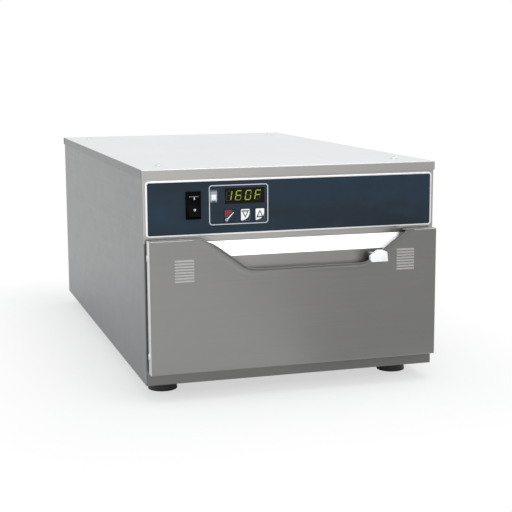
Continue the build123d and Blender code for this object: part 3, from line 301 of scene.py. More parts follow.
def wool(name, colour):
    s = Shader(name).set(Roughness=0.95)
    fibres = s.noise(s.place((1, 1, 4)), 160.0, detail=6.0, roughness=0.7)
    s.feed("Base Color", s.ramp(fibres, (0.3, shade(colour, 0.6)), (0.7, colour)))
    s.bump(fibres, 0.8, 0.002)
    return s.material


def indicator(name, low, high):
    """Clear lens painted with grey bands by height: a light band round the place of its lamp as painted lamp
    glow, darker bands above and below.
    """
    s = Shader(name).set(Roughness=0.25)
    place = s.spread(s.axes()["Z"], 0.0, 1.0, low, high)
    grain = s.math("ADD", place, s.spread(s.noise(s.place(), 700.0), -0.02, 0.02))
    s.feed("Base Color", s.ramp(grain, *LENS_PAINTED_GLOW_BANDS))
    return s.material


def lit(name, colour, strength):
    """Segments of the display, which give their own light, a little uneven."""
    s = Shader(name).set(Roughness=0.4, Emission_Strength=strength)
    cells = s.noise(s.place(), 600.0, detail=2.0)
    s.feed("Emission Color", s.ramp(cells, (0.3, shade(colour, 0.85)), (0.7, colour)))
    s.feed("Base Color", s.ramp(cells, (0.3, shade(colour, 0.3)), (0.7, shade(colour, 0.4))))
    return s.material


def circuit_board(name):
    s = Shader(name).set(Roughness=0.45)
    traces = s.add("ShaderNodeTexBrick")
    traces.inputs["Scale"].default_value = 90.0
    s.link(s.place(), traces.inputs["Vector"])
    mottle = s.noise(s.place(), 220.0, detail=4.0)
    s.feed("Base Color", s.ramp(mottle, (0.4, BOARD_DARK), (0.6, BOARD_LIGHT)))
    s.bump(traces.outputs["Fac"], 0.3, 0.0002)
    return s.material


def laminations(name):
    s = Shader(name).set(Roughness=0.5, Metallic=0.6)
    sheets = s.add("ShaderNodeTexWave", bands_direction="Z")
    sheets.inputs["Scale"].default_value = 160.0
    s.link(s.place(), sheets.inputs["Vector"])
    s.feed("Base Color", s.ramp(sheets.outputs["Fac"], (0.2, LAMINATION_DARK), (0.8, LAMINATION_LIGHT)))
    return s.material


lens_low, lens_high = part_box("indicator_lens")

SLOT_MATERIALS = {
    # painted light: the sheet's sideways returns and its upward and downward faces are painted far lighter
    # than its front
    "stainless_sheet": brushed_steel("sheet_front", STEEL_FRONT, 0.34, GRAIN_ALONG_X,
                                     top=STEEL_EDGE_PAINTED_LIGHT, side=STEEL_RETURN_PAINTED_HIGHLIGHT),
    "polished_trim": polished_steel("trim", (0.97, 0.97, 0.97), 0.42),
    "cavity_steel": brushed_steel("cavity", STEEL_CAVITY, 0.28, GRAIN_ALONG_Y),
    "screw_steel": polished_steel("screws", (0.72, 0.72, 0.72), 0.3),
    "rail_steel": polished_steel("rails", (0.46, 0.47, 0.50), 0.26),
    "foot_rubber": moulded("rubber", (0.031, 0.031, 0.032), 0.62),
    "panel_blue": overlay("overlay", PANEL_BLUE, 0.42, 0.15),
    "controller_silver": moulded("controller_line", (0.60, 0.63, 0.67), 0.4),
    "display_dark": moulded("window", (0.010, 0.006, 0.003), 0.22, depth=0.00001, specular=0.1),
    "indicator_smoke": indicator("lens", lens_low.z, lens_high.z),
    "switch_black": moulded("switch", (0.002, 0.002, 0.002), 0.4, grain=1200.0, depth=0.00002,
                            specular=0.04),
    "key_white": overlay("key", PANEL_BLUE, 0.42, 0.15),
    "knob_white": moulded("knob", (0.95, 0.95, 0.94), 0.35),
    "board_green": circuit_board("board"),
    "transformer_steel": laminations("transformer"),
    "insulation_wool": wool("wool", (0.62, 0.56, 0.36)),
    "cable_sheath": moulded("cable", (0.32, 0.05, 0.04), 0.5),
}
# painted shade: the side panels are a darker copy of the front sheet
SIDE_STEEL = brushed_steel("sheet_side", STEEL_COOL, 0.36, GRAIN_ALONG_Y)
# painted light: the lid's top is painted lighter than its front and back flanges, and its sides darker
LID_STEEL_PAINTED_LIGHT = brushed_steel("sheet_lid_painted_light", STEEL_FLANGE, 0.40, GRAIN_ALONG_Y, top=STEEL_LID_TOP_PAINTED_LIGHT, side=STEEL_COOL)
# painted light: the band under the overlay is a lighter copy of the front sheet
BAND_STEEL = brushed_steel("sheet_band", STEEL_BAND, 0.34, GRAIN_ALONG_X)
# painted shade: the apron under the drawer is painted darker than the drawer front
APRON_STEEL_PAINTED_SHADE = brushed_steel("sheet_apron_painted_shade", STEEL_APRON_PAINTED_SHADE, 0.34, GRAIN_ALONG_X)
# painted highlight: the trough's faces that turn a little upward are painted near white, and its strip
# lighter than the drawer front
PULL_STEEL_PAINTED_HIGHLIGHT = brushed_steel("sheet_pull_painted_highlight", STEEL_PULL, 0.34, GRAIN_ALONG_X, top=STEEL_SLOPE_PAINTED_HIGHLIGHT,
                           tilt=EARLY_TILT)
PRINT_WHITE = moulded("print_white", (0.96, 0.96, 0.96), 0.45)
PRINT_GREY = moulded("print_grey", (0.22, 0.25, 0.30), 0.45)
PRINT_LINE = moulded("print_line", (0.035, 0.045, 0.06), 0.45)
PRINT_RED = moulded("print_red", (0.36, 0.028, 0.03), 0.45, grain=500.0, depth=0.0001)
SEGMENT_BRIGHT = lit("segment_bright", (0.31, 0.45, 0.035), 0.9)
SEGMENT_DIM = lit("segment_dim", (0.11, 0.17, 0.03), 0.9)
SEGMENT_OFF = moulded("segment_off", (0.013, 0.010, 0.005), 0.35)

# nodes whose sheet differs from the rest of their slot: lighter and darker copies of it, as painted light
# and shade
NODE_MATERIALS = {
    "top_cover": LID_STEEL_PAINTED_LIGHT,
    "side_panel_left": SIDE_STEEL,
    "side_panel_right": SIDE_STEEL,
    "base_pan": APRON_STEEL_PAINTED_SHADE,
    "pull_trough": PULL_STEEL_PAINTED_HIGHLIGHT,
    "front_fascia": BAND_STEEL,
}


def assign_materials():
    for part in frame["record"]["subparts"]:
        node = nodes[part["node"]]
        material = NODE_MATERIALS.get(part["node"], SLOT_MATERIALS[part["material_slot"]])
        node.data.materials.clear()
        node.data.materials.append(material)


# ---- meshes ----

PRINT = 0.05 * MM


def new_object(name, mesh, material, body):
    piece = bpy.data.objects.new(name, mesh)
    bpy.context.scene.collection.objects.link(piece)
    piece.data.materials.append(material)
    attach(piece, body)
    return piece


def plate_mesh(name, outlines, y_front, thickness=PRINT):
    """Raised print: closed (x, z) outlines seen from the front, with a small thickness behind."""
    bm = bmesh.new()
    for outline in outlines:
        front = [bm.verts.new((x, y_front, z)) for x, z in outline]
        back = [bm.verts.new((x, y_front + thickness, z)) for x, z in outline]
        bm.faces.new(front)
        bm.faces.new(list(reversed(back)))
        for i in range(len(front)):
            j = (i + 1) % len(front)
            bm.faces.new((front[j], front[i], back[i], back[j]))
    bmesh.ops.recalc_face_normals(bm, faces=bm.faces)
    mesh = bpy.data.meshes.new(name)
    bm.to_mesh(mesh)
    bm.free()
    return mesh


def turned_mesh(name, rings):
    """Closed body through rings of points, smooth round its wall and flat at both ends."""
    bm = bmesh.new()
    rings = [[bm.verts.new(point) for point in ring] for ring in rings]
    for upper, lower in zip(rings, rings[1:]):
        for i in range(len(upper)):
            j = (i + 1) % len(upper)
            bm.faces.new((upper[i], lower[i], lower[j], upper[j]))
    bm.faces.new(rings[0])
    bm.faces.new(list(reversed(rings[-1])))
    bmesh.ops.recalc_face_normals(bm, faces=bm.faces)
    mesh = bpy.data.meshes.new(name)
    bm.to_mesh(mesh)
    bm.free()
    for polygon in mesh.polygons:
        polygon.use_smooth = len(polygon.vertices) == 4
    return mesh


def arc(cx, cz, radius, start, end, steps=8):
    angles = [math.radians(start + (end - start) * i / steps) for i in range(steps + 1)]
    return [(cx + radius * math.cos(a), cz + radius * math.sin(a)) for a in angles]


def oblong(left, right, bottom, top):
    return [(left, bottom), (right, bottom), (right, top), (left, top)]


def rounded(cx, cz, width, height, radius):
    """Outline of a rounded rectangle."""
    w, h = width / 2 - radius, height / 2 - radius
    points = []
    for sx, sz, start in ((1, 1, 0), (-1, 1, 90), (-1, -1, 180), (1, -1, 270)):
        points += arc(cx + sx * w, cz + sz * h, radius, start, start + 90, 6)
    return points


def ring_pieces(outer, inner):
    """Quads between two outlines with the same number of points."""
    pieces = []
    for i in range(len(outer)):
        j = (i + 1) % len(outer)
        pieces.append([outer[i], outer[j], inner[j], inner[i]])
    return pieces


# ---- display ----

DIGIT_WIDTH = 8.2 * MM
DIGIT_HEIGHT = 13.3 * MM
DIGIT_PITCH = 13.4 * MM
DIGIT_SLANT = 0.17
DIGIT_LEFT = 0.1 * MM       # from the window's left edge to the first digit
DIGIT_BOTTOM = 4.1 * MM     # from the window's lower edge to the digits
SEGMENT = 1.1 * MM
SEGMENT_GAP = 0.25 * MM
SEGMENTS = {"1": "bc", "6": "afedcg", "0": "abcdef", "F": "afeg"}
DIM_SEGMENTS = {"6": "cd", "0": "b"}


def segment_outline(letter, width, height):
    """One hexagonal bar of a seven-segment digit whose lower left corner is the origin."""
    half = height / 2
    t = SEGMENT / 2
    ends = {
        "a": ((0, height), (width, height)), "g": ((0, half), (width, half)), "d": ((0, 0), (width, 0)),
        "f": ((0, half), (0, height)), "b": ((width, half), (width, height)),
        "e": ((0, 0), (0, half)), "c": ((width, 0), (width, half)),
    }
    (x0, z0), (x1, z1) = ends[letter]
    if letter in "adg":
        x0 += SEGMENT_GAP
        x1 -= SEGMENT_GAP
        points = [(x0, z0), (x0 + t, z0 - t), (x1 - t, z0 - t),
                  (x1, z0), (x1 - t, z0 + t), (x0 + t, z0 + t)]
    else:
        z0 += SEGMENT_GAP
        z1 -= SEGMENT_GAP
        points = [(x0, z0), (x0 + t, z0 + t), (x0 + t, z1 - t),
                  (x0, z1), (x0 - t, z1 - t), (x0 - t, z0 + t)]
    return [(x + z * DIGIT_SLANT, z) for x, z in points]


def make_display():
    low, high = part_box("display_window")
    width = DIGIT_WIDTH - SEGMENT
    height = DIGIT_HEIGHT - SEGMENT
    z = low.z + DIGIT_BOTTOM + SEGMENT / 2
    groups = {"bright": [], "dim": [], "off": []}
    for i, digit in enumerate("160F"):
        x = low.x + DIGIT_LEFT + SEGMENT / 2 + i * DIGIT_PITCH
        for letter in "abcdefg":
            outline = [(x + dx, z + dz) for dx, dz in segment_outline(letter, width, height)]
            if letter not in SEGMENTS[digit]:
                groups["off"].append(outline)
            elif letter in DIM_SEGMENTS.get(digit, ""):
                groups["dim"].append(outline)
            else:
                groups["bright"].append(outline)
    looks = {"bright": SEGMENT_BRIGHT, "dim": SEGMENT_DIM, "off": SEGMENT_OFF}
    for name, outlines in groups.items():
        mesh = plate_mesh("display_" + name, outlines, low.y - PRINT)
        new_object("display_segments_" + name, mesh, looks[name], "cabinet")


LAMP_WIDTH = 5.6 * MM
LAMP_HEIGHT = 6.6 * MM
LAMP_CORNER = 0.7 * MM
LAMP_PLACE = 0.44           # share of the lens's height
LEG_GAP_WIDTH = 5.0 * MM
LEG_GAP_HEIGHT = 0.11       # share of the lens's height, and the next one too
LEG_GAP_PLACE = 0.07
LEG_GAP_CORNER = 0.4 * MM


def make_lamp_window():
    """White lamp behind the indicator lens, and a dark plate painted as the shade in the gap between its two
    legs.
    """
    low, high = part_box("indicator_lens")
    x, height = (low.x + high.x) / 2, high.z - low.z
    lamp = rounded(x, low.z + LAMP_PLACE * height, LAMP_WIDTH, LAMP_HEIGHT, LAMP_CORNER)
    mesh = plate_mesh("indicator_lamp", [lamp], low.y - PRINT)
    new_object("indicator_lamp", mesh, PRINT_WHITE, "cabinet")
    # painted shade: a dark plate stands where the gap between the lamp's legs is in shade
    gap = rounded(x, low.z + LEG_GAP_PLACE * height, LEG_GAP_WIDTH, LEG_GAP_HEIGHT * height, LEG_GAP_CORNER)
    mesh = plate_mesh("indicator_gap_painted_shade", [gap], low.y - PRINT)
    new_object("indicator_gap_painted_shade", mesh, PRINT_LINE, "cabinet")


# ---- keys ----

# white print of an arrow key: how far it reaches from the middle, and its cut corner
PRINT_LEFT = 6.2 * MM
PRINT_RIGHT = 5.6 * MM
PRINT_TOP = 7.6 * MM
PRINT_BOTTOM = 7.4 * MM
PRINT_FOOT = 2.0 * MM
CUT_RADIUS = 9.5 * MM
CUT_LIFT = 0.6 * MM
CUT_START = -78             # degrees

# triangle on it: half its width outside and inside the line, and its place
ARROW_OUTER = 5.1 * MM
ARROW_INNER = 2.9 * MM
ARROW_SIDE = 0.3 * MM       # left of the middle
ARROW_LIFT = 0.9 * MM
ARROW_SHIFT = 1.2 * MM      # away from its tip
ARROW_BASE = 0.75           # base and tip from its centre, as shares of half its width
ARROW_TIP = 1.25

BORDER_WIDTH = 13.2 * MM
BORDER_HEIGHT = 16.2 * MM
BORDER_CORNER = 2.0 * MM
BORDER_LINE = 0.35 * MM


def key_face(node):
    low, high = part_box(node)
    return (low.x + high.x) / 2, (low.z + high.z) / 2, low.y


def triangle(x, z, size, tip):
    """Triangle that points up where tip is 1 and down where it is -1."""
    base = z - tip * size * ARROW_BASE
    return [(x - size, base), (x + size, base), (x, z + tip * size * ARROW_TIP)]


def make_arrow_key(node, tip):
    """White print with a cut lower right corner, a triangle outline on it, and a thin border."""
    x, z, y = key_face(node)
    left, right = x - PRINT_LEFT, x + PRINT_RIGHT
    top, bottom = z + PRINT_TOP, z - PRINT_BOTTOM
    white = [(left, bottom), (left + PRINT_FOOT, bottom)]
    white += arc(right - CUT_RADIUS, bottom + CUT_RADIUS + CUT_LIFT, CUT_RADIUS, CUT_START, 0, 10)
    white += [(right, top), (left, top)]
    mesh = plate_mesh(node + "_print", [white], y - PRINT)
    new_object(node + "_print", mesh, PRINT_WHITE, node)
    arrow_x, arrow_z = x - ARROW_SIDE, z + ARROW_LIFT - tip * ARROW_SHIFT
    arrow = ring_pieces(triangle(arrow_x, arrow_z, ARROW_OUTER, tip),
                        triangle(arrow_x, arrow_z, ARROW_INNER, tip))
    mesh = plate_mesh(node + "_arrow", arrow, y - 2 * PRINT)
    new_object(node + "_arrow", mesh, PRINT_LINE, node)
    make_key_border(node, x, z, y)


def make_key_border(node, x, z, y):
    outer = rounded(x, z, BORDER_WIDTH, BORDER_HEIGHT, BORDER_CORNER)
    inner = rounded(x, z, BORDER_WIDTH - 2 * BORDER_LINE, BORDER_HEIGHT - 2 * BORDER_LINE,
                    BORDER_CORNER - BORDER_LINE)
    mesh = plate_mesh(node + "_border", ring_pieces(outer, inner), y - PRINT)
    new_object(node + "_border", mesh, PRINT_GREY, node)


# red squares of the set key, from its upper left corner down and to the right
SQUARE = 1.8 * MM
SQUARE_CORNER = 0.4 * MM
SQUARE_PITCH = 2.4 * MM
SQUARE_COUNT = 4
SQUARE_LEFT = 5.4 * MM
SQUARE_TOP = 6.2 * MM

# white stroke over them, and the ring at its lower end
STROKE_START = Vector((-2.6, -4.6)) * MM
STROKE_END = Vector((6.0, 4.0)) * MM
STROKE_HALF = 0.75 * MM
STROKE_TAPER = 0.6
RING_OFFSET = Vector((-1.2, -1.2)) * MM
RING_OUTER = 1.9 * MM
RING_INNER = 1.2 * MM
RING_SWEEP = 330            # degrees


def make_set_key():
    """Red block of small squares with a white key-shaped stroke over it."""
    x, z, y = key_face("key_set")
    squares = []
    for row in range(SQUARE_COUNT):
        for column in range(SQUARE_COUNT):
            if column + row > SQUARE_COUNT:
                continue
            cx = x - SQUARE_LEFT + column * SQUARE_PITCH
            cz = z + SQUARE_TOP - row * SQUARE_PITCH
            squares.append(rounded(cx, cz, SQUARE, SQUARE, SQUARE_CORNER))
    mesh = plate_mesh("set_red", squares, y - PRINT)
    new_object("key_set_red", mesh, PRINT_RED, "key_set")
    start = Vector((x, z)) + STROKE_START
    end = Vector((x, z)) + STROKE_END
    along = (end - start).normalized()
    side = Vector((-along.y, along.x)) * STROKE_HALF
    bar = [tuple(start + side), tuple(start - side),
           tuple(end - side * STROKE_TAPER), tuple(end + side * STROKE_TAPER)]
    ring_x, ring_z = start + RING_OFFSET
    ring = ring_pieces(arc(ring_x, ring_z, RING_OUTER, 0, RING_SWEEP, 11),
                       arc(ring_x, ring_z, RING_INNER, 0, RING_SWEEP, 11))
    mesh = plate_mesh("set_stroke", [bar] + ring, y - 2 * PRINT)
    new_object("key_set_stroke", mesh, PRINT_WHITE, "key_set")


# ---- rocker marks ----

MARK_SIDE = 1.5 * MM        # right of the paddle's middle
UPPER_FACE = 1.05 * MM      # upper half of the paddle behind the front of the housing
TICK_HALF = 0.5 * MM
TICK_BOTTOM = 7.6 * MM      # from the middle of the housing, as the other heights here
TICK_TOP = 10.9 * MM
HIGHLIGHT_LEFT = 1.8 * MM
HIGHLIGHT_RIGHT = 0.1 * MM
# painted highlight line across the paddle, from its sides and from the middle of the housing
HIGHLIGHT_BOTTOM = 11.3 * MM
HIGHLIGHT_TOP = 12.0 * MM
HIGHLIGHT_THICK = 4 * PRINT
RING_MARK_OUTER = 1.45 * MM
RING_MARK_INNER = 0.9 * MM
RING_MARK_LEAN = 18.0       # degrees between the two halves
RING_MARK_REACH = 6.8 * MM  # along the lower half from the bend
BEND_LIFT = 0.63 * MM


def make_rocker_marks():
    """I on the upper half, which stands upright at rest, and O on the lower, which leans out."""
    low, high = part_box("rocker_paddle")
    housing_low, housing_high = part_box("rocker_housing")
    x = (low.x + high.x) / 2 + MARK_SIDE
    middle = (housing_low.z + housing_high.z) / 2
    upper_y = housing_low.y + UPPER_FACE
    tick = oblong(x - TICK_HALF, x + TICK_HALF, middle + TICK_BOTTOM, middle + TICK_TOP)
    mesh = plate_mesh("rocker_on", [tick], upper_y - PRINT)
    new_object("rocker_mark_on", mesh, PRINT_WHITE, "rocker_paddle")
    # painted highlight: a thin light grey bar across the black paddle near its top stands in for the light
    # caught along its edge
    highlight_line = oblong(low.x + HIGHLIGHT_LEFT, high.x - HIGHLIGHT_RIGHT, middle + HIGHLIGHT_BOTTOM, middle + HIGHLIGHT_TOP)
    mesh = plate_mesh("rocker_painted_highlight", [highlight_line], upper_y - HIGHLIGHT_THICK, HIGHLIGHT_THICK)
    new_object("rocker_painted_highlight", mesh, PRINT_GREY, "rocker_paddle")
    ring = ring_pieces(arc(0, 0, RING_MARK_OUTER, 0, 360, 24), arc(0, 0, RING_MARK_INNER, 0, 360, 24))
    mesh = plate_mesh("rocker_off", ring, -PRINT)
    lean = math.radians(RING_MARK_LEAN)
    y = upper_y - math.sin(lean) * RING_MARK_REACH
    z = middle + BEND_LIFT - math.cos(lean) * RING_MARK_REACH
    mesh.transform(Matrix.Translation((x, y, z)) @ Matrix.Rotation(-lean, 4, "X"))
    new_object("rocker_mark_off", mesh, PRINT_WHITE, "rocker_paddle")


# ---- screws ----

# shares of the head's radius and of its height, from the top down
HEAD_PROFILE = ((0.35, 1.0), (0.62, 0.94), (0.82, 0.78), (0.94, 0.5), (1.0, 0.18), (1.0, 0.0))
HEAD_STEPS = 48
CROSS_ARM = 0.42            # share of the head's radius, and the next one too
CROSS_HALF = 0.09
CROSS_DEPTH = 0.6           # share of the head's height
FIRST_TURN = 17.0           # degrees that the cross of the first screw is turned
NEXT_TURN = 41.0            # and how much further that of each next one


def pan_head_mesh(name, diameter, height):
    """Low domed head with a cross recess, its axis along +Z and its seat at z = 0."""
    radius = diameter / 2
    angles = [2 * math.pi * i / HEAD_STEPS for i in range(HEAD_STEPS)]
    rings = []
    for reach, rise in HEAD_PROFILE:
        r = radius * reach
        rings.append([(r * math.cos(a), r * math.sin(a), height * rise) for a in angles])
    return cut_cross(name, turned_mesh(name, rings), radius, height)


def cut_cross(name, head, radius, height):
    """Cuts the cross recess with a boolean, and returns the mesh that is left."""
    size = Matrix.Diagonal((radius * CROSS_ARM * 2, radius * CROSS_HALF * 2, height * CROSS_DEPTH * 2, 1))
    bm = bmesh.new()
    for turn in (0.0, 90.0):
        cube = bmesh.ops.create_cube(bm, size=1.0)
        shape = Matrix.Translation((0, 0, height)) @ Matrix.Rotation(math.radians(turn), 4, "Z") @ size
        bmesh.ops.transform(bm, matrix=shape, verts=cube["verts"])
    tool_mesh = bpy.data.meshes.new(name + "_tool")
    bm.to_mesh(tool_mesh)
    bm.free()
    body = bpy.data.objects.new(name + "_body", head)
    tool = bpy.data.objects.new(name + "_tool", tool_mesh)
    for made in (body, tool):
        bpy.context.scene.collection.objects.link(made)
    cut = body.modifiers.new("recess", "BOOLEAN")
    cut.operation = "DIFFERENCE"
    cut.solver = "EXACT"
    cut.use_self = True
    cut.object = tool
    bpy.context.view_layer.update()
    graph = bpy.context.evaluated_depsgraph_get()
    result = bpy.data.meshes.new_from_object(body.evaluated_get(graph))
    for made in (body, tool):
        bpy.data.objects.remove(made)
    return result


def islands(node):
    """Boxes of the separate solids of a node."""
    bm = bmesh.new()
    bm.from_mesh(nodes[node].data)
    bmesh.ops.remove_doubles(bm, verts=bm.verts, dist=1e-6)
    seen = set()
    boxes = []
    for vert in bm.verts:
        if vert.index in seen:
            continue
        stack, members = [vert], []
        seen.add(vert.index)
        while stack:
            v = stack.pop()
            members.append(v.co.copy())
            for edge in v.link_edges:
                other = edge.other_vert(v)
                if other.index not in seen:
                    seen.add(other.index)
                    stack.append(other)
        low = Vector([min(c[k] for c in members) for k in range(3)])
        high = Vector([max(c[k] for c in members) for k in range(3)])
        boxes.append((low, high))
    bm.free()
    return boxes


def make_screws(node, axis, diameter, height, body):
    """Detailed heads in place of a node's plain ones. axis is the way that the heads face;
    those of a sideways axis face away from the middle."""
    axis = Vector(axis)
    for number, (low, high) in enumerate(islands(node)):
        middle = (low + high) / 2
        facing = axis if axis.x == 0 else axis * (1 if middle.x > 0 else -1)
        k = max(range(3), key=lambda i: abs(facing[i]))
        end = high[k] if facing[k] > 0 else low[k]
        seat = middle.copy()
        seat[k] = end - height * (1 if facing[k] > 0 else -1)
        mesh = pan_head_mesh(f"{node}_{number}", diameter, height)
        turn = facing.to_track_quat("Z", "Y").to_matrix().to_4x4()
        spin = Matrix.Rotation(math.radians(FIRST_TURN + NEXT_TURN * number), 4, "Z")
        mesh.transform(Matrix.Translation(seat) @ turn @ spin)
        name = f"{node}_head_{number}"
        piece = new_object(name, mesh, SLOT_MATERIALS["screw_steel"], body)
        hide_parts(node)


# ---- feet ----

# radius and height in millimetres, from the top down the wall to the hollow underneath
FOOT_PROFILE = (
    (16.5, 21.0), (18.5, 20.6), (18.6, 18.4), (18.2, 17.9), (18.2, 17.2), (18.75, 16.7),
    (19.1, 13.0), (19.5, 8.0), (19.9, 4.0), (20.3, 2.2), (20.4, 1.2), (20.0, 0.35), (19.2, 0.0),
    (9.0, 0.0), (7.6, 0.5), (7.2, 2.0), (7.1, 10.4),
)
FOOT_STEPS = 96
FOOT_RIB = 0.12             # depth of the grooves between the ribs
FOOT_RIB_LOW = 1.0          # heights between which the wall is ribbed
FOOT_RIB_HIGH = 9.0
FOOT_WALL = 15.0            # radius outside which the profile is the wall


def foot_ring(cx, cy, z, radius, ribbed):
    """Ring of a foot's profile; a ribbed one steps in and out."""
    ring = []
    for i in range(FOOT_STEPS):
        a = 2 * math.pi * i / FOOT_STEPS
        r = (radius - (FOOT_RIB * (i % 2) if ribbed else 0.0)) * MM
        ring.append((cx + r * math.cos(a), cy + r * math.sin(a), z))
    return ring


def make_feet():
    """Moulded feet: a tapered wall with a shallow groove and a ribbed lower edge."""
    low_all, high_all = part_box("rubber_feet")
    height_scale = (high_all.z - low_all.z) / FOOT_PROFILE[0][1]
    for number, (low, high) in enumerate(islands("rubber_feet")):
        cx, cy = (low.x + high.x) / 2, (low.y + high.y) / 2
        rings = []
        for radius, rise in FOOT_PROFILE:
            ribbed = FOOT_RIB_LOW < rise < FOOT_RIB_HIGH and radius > FOOT_WALL
            rings.append(foot_ring(cx, cy, low.z + rise * height_scale, radius, ribbed))
        name = f"rubber_foot_{number}"
        mesh = turned_mesh(name, rings)
        piece = new_object(name, mesh, SLOT_MATERIALS["foot_rubber"], "cabinet")
        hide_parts("rubber_feet")


# ---- surroundings ----

SOFT_COLOUR = (0.94, 0.97, 1.0, 1)
SOFT_LIGHT = 0.75
WHITE = (1, 1, 1, 1)

FLOOR_REACH = 12.0
FLOOR_PAINT = (0.88, 0.88, 0.88, 1)

# share of plain white beside the object and far from it, and how far it takes to change
FLOOR_SEEN = (0.60, 1.0, 0.24)
FLOOR_MIRRORED = (0.25, 0.95, 0.45)

CARD_LEFT = 0.25
CARD_SPREAD = 0.2           # how much further left its near edge begins
CARD_RIGHT = 1.8
CARD_NEAR = -0.44
CARD_FAR = -1.4
CARD_LOW = 0.002
CARD_TOP = 0.45
CARD_GREY = 0.60


def larger(tree, a, b):
    join = tree.nodes.new("ShaderNodeMath")
    join.operation = "MAXIMUM"
    tree.links.new(a, join.inputs[0])
    tree.links.new(b, join.inputs[1])
    return join.outputs["Value"]


def make_world():
    """Soft light from all sides, and plain white where the world is seen or mirrored."""
    world = bpy.data.worlds.new("studio")
    world.use_nodes = True
    bpy.context.scene.world = world
    tree = world.node_tree
    soft = tree.nodes["Background"]
    soft.inputs["Color"].default_value = SOFT_COLOUR
    soft.inputs["Strength"].default_value = SOFT_LIGHT
    white = tree.nodes.new("ShaderNodeBackground")
    white.inputs["Color"].default_value = WHITE
    white.inputs["Strength"].default_value = 1.0
    path = tree.nodes.new("ShaderNodeLightPath").outputs
    seen = larger(tree, path["Is Camera Ray"], path["Is Glossy Ray"])
    seen = larger(tree, seen, path["Is Transmission Ray"])
    mix = tree.nodes.new("ShaderNodeMixShader")
    tree.links.new(seen, mix.inputs["Fac"])
    tree.links.new(soft.outputs["Background"], mix.inputs[1])
    tree.links.new(white.outputs["Background"], mix.inputs[2])
    tree.links.new(mix.outputs["Shader"], tree.nodes["World Output"].inputs["Surface"])


def distance_from_footprint(s):
    """Distance on the floor from the rectangle that the object covers at rest."""
    place = s.axes()
    outside = []
    for axis, half in (("X", cad_box[1][0]), ("Y", cad_box[1][1])):
        beyond = s.math("SUBTRACT", s.math("ABSOLUTE", place[axis], 0.0), half)
        beyond = s.math("MAXIMUM", beyond, 0.0)
        outside.append(s.math("MULTIPLY", beyond, beyond))
    return s.math("SQRT", s.math("ADD", *outside), 0.0)


def make_floor():
    """Pale floor that keeps the shadow near the object and fades to plain white further out."""
    mesh = bpy.data.meshes.new("floor")
    corners = oblong(-FLOOR_REACH, FLOOR_REACH, -FLOOR_REACH, FLOOR_REACH)
    mesh.from_pydata([(x, y, 0) for x, y in corners], [], [(0, 1, 2, 3)])
    floor = bpy.data.objects.new("floor", mesh)
    bpy.context.scene.collection.objects.link(floor)
    s = Shader("floor_white").set(Roughness=0.9, Specular_IOR_Level=0.1, Base_Color=FLOOR_PAINT)
    glow = s.add("ShaderNodeEmission")
    glow.inputs["Color"].default_value = WHITE
    mix = s.add("ShaderNodeMixShader")
    path = s.add("ShaderNodeLightPath").outputs
    mirrored = larger(s.material.node_tree, path["Is Glossy Ray"], path["Is Transmission Ray"])
    far = distance_from_footprint(s)
    shares = []
    for rays, (near_share, far_share, reach) in ((path["Is Camera Ray"], FLOOR_SEEN),
                                                 (mirrored, FLOOR_MIRRORED)):
        shares.append(s.math("MULTIPLY", rays, s.spread(far, near_share, far_share, 0.0, reach)))
    s.link(s.math("MAXIMUM", *shares), mix.inputs["Fac"])
    s.link(s.principled.outputs["BSDF"], mix.inputs[1])
    s.link(glow.outputs["Emission"], mix.inputs[2])
    s.link(mix.outputs["Shader"], s.nodes["Material Output"].inputs["Surface"])
    mesh.materials.append(s.material)


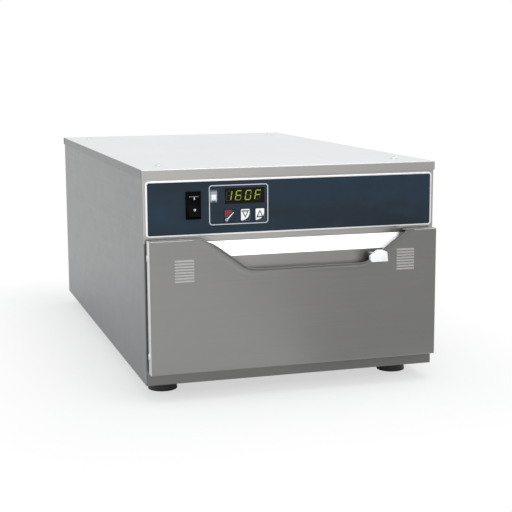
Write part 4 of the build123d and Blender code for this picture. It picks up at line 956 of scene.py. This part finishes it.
def make_grey_card():
    """Bent grey card in front and to the right, which only mirrors show: it darkens the front that way."""
    mesh = bpy.data.meshes.new("grey_card")
    lying = [(CARD_LEFT - CARD_SPREAD, CARD_NEAR, CARD_LOW), (CARD_RIGHT, CARD_NEAR, CARD_LOW),
             (CARD_RIGHT, CARD_FAR, CARD_LOW), (CARD_LEFT, CARD_FAR, CARD_LOW)]
    upper = [(CARD_RIGHT, CARD_FAR, CARD_TOP), (CARD_LEFT, CARD_FAR, CARD_TOP)]
    mesh.from_pydata(lying + upper, [], [(0, 1, 2, 3), (3, 2, 4, 5)])
    card = bpy.data.objects.new("grey_card", mesh)
    bpy.context.scene.collection.objects.link(card)
    s = Shader("card").set(Roughness=1.0, Specular_IOR_Level=0.0, Base_Color=(0, 0, 0, 1))
    s.set(Emission_Color=WHITE, Emission_Strength=CARD_GREY)
    mesh.materials.append(s.material)
    card.visible_camera = False
    card.visible_diffuse = False
    card.visible_shadow = False


def area_lamp(name, place, target, size, radiance):
    """Rectangular soft box with a given brightness of its face."""
    width, height = size
    data = bpy.data.lights.new(name, "AREA")
    data.shape = "RECTANGLE"
    data.size = width
    data.size_y = height
    data.energy = radiance * math.pi * width * height
    lamp = bpy.data.objects.new(name, data)
    lamp.location = place
    lamp.visible_camera = False
    direction = Vector(target) - Vector(place)
    lamp.rotation_mode = "QUATERNION"
    lamp.rotation_quaternion = direction.to_track_quat("-Z", "Y")
    bpy.context.scene.collection.objects.link(lamp)


def make_lamps():
    area_lamp("overhead", place=(0.35, -0.75, 2.1), target=(0.0, -0.25, 0.2), size=(1.6, 1.1), radiance=2.0)
    area_lamp("front_left", place=(-1.5, -2.6, 1.5), target=(0.0, -0.2, 0.15), size=(1.6, 1.2), radiance=1.2)
    area_lamp("front_high", place=(0.42, -1.7, 1.02), target=(0.0, -0.36, 0.16), size=(0.7, 0.7),
              radiance=1.9)
    area_lamp("rear_left", place=(-2.4, 0.9, 1.3), target=(-0.1, 0.1, 0.15), size=(1.4, 1.0), radiance=0.9)
    area_lamp("rear_right", place=(2.4, 0.9, 1.3), target=(0.1, 0.1, 0.15), size=(1.4, 1.0), radiance=0.9)


# ---- scene ----

make_camera()
make_world()
make_floor()
make_grey_card()
make_lamps()
assign_materials()
make_display()
make_lamp_window()
make_arrow_key("key_down", tip=-1)
make_arrow_key("key_up", tip=1)
make_set_key()
make_rocker_marks()
make_screws("top_cover_screws", (0, 0, 1), diameter=11.5 * MM, height=2.0 * MM, body="cabinet")
make_screws("back_panel_screws", (0, 1, 0), diameter=11.0 * MM, height=2.6 * MM, body="cabinet")
make_screws("door_side_screws", (1, 0, 0), diameter=10.0 * MM, height=1.6 * MM, body="drawer")
make_feet()

scene = bpy.context.scene
scene.view_settings.view_transform = "Standard"
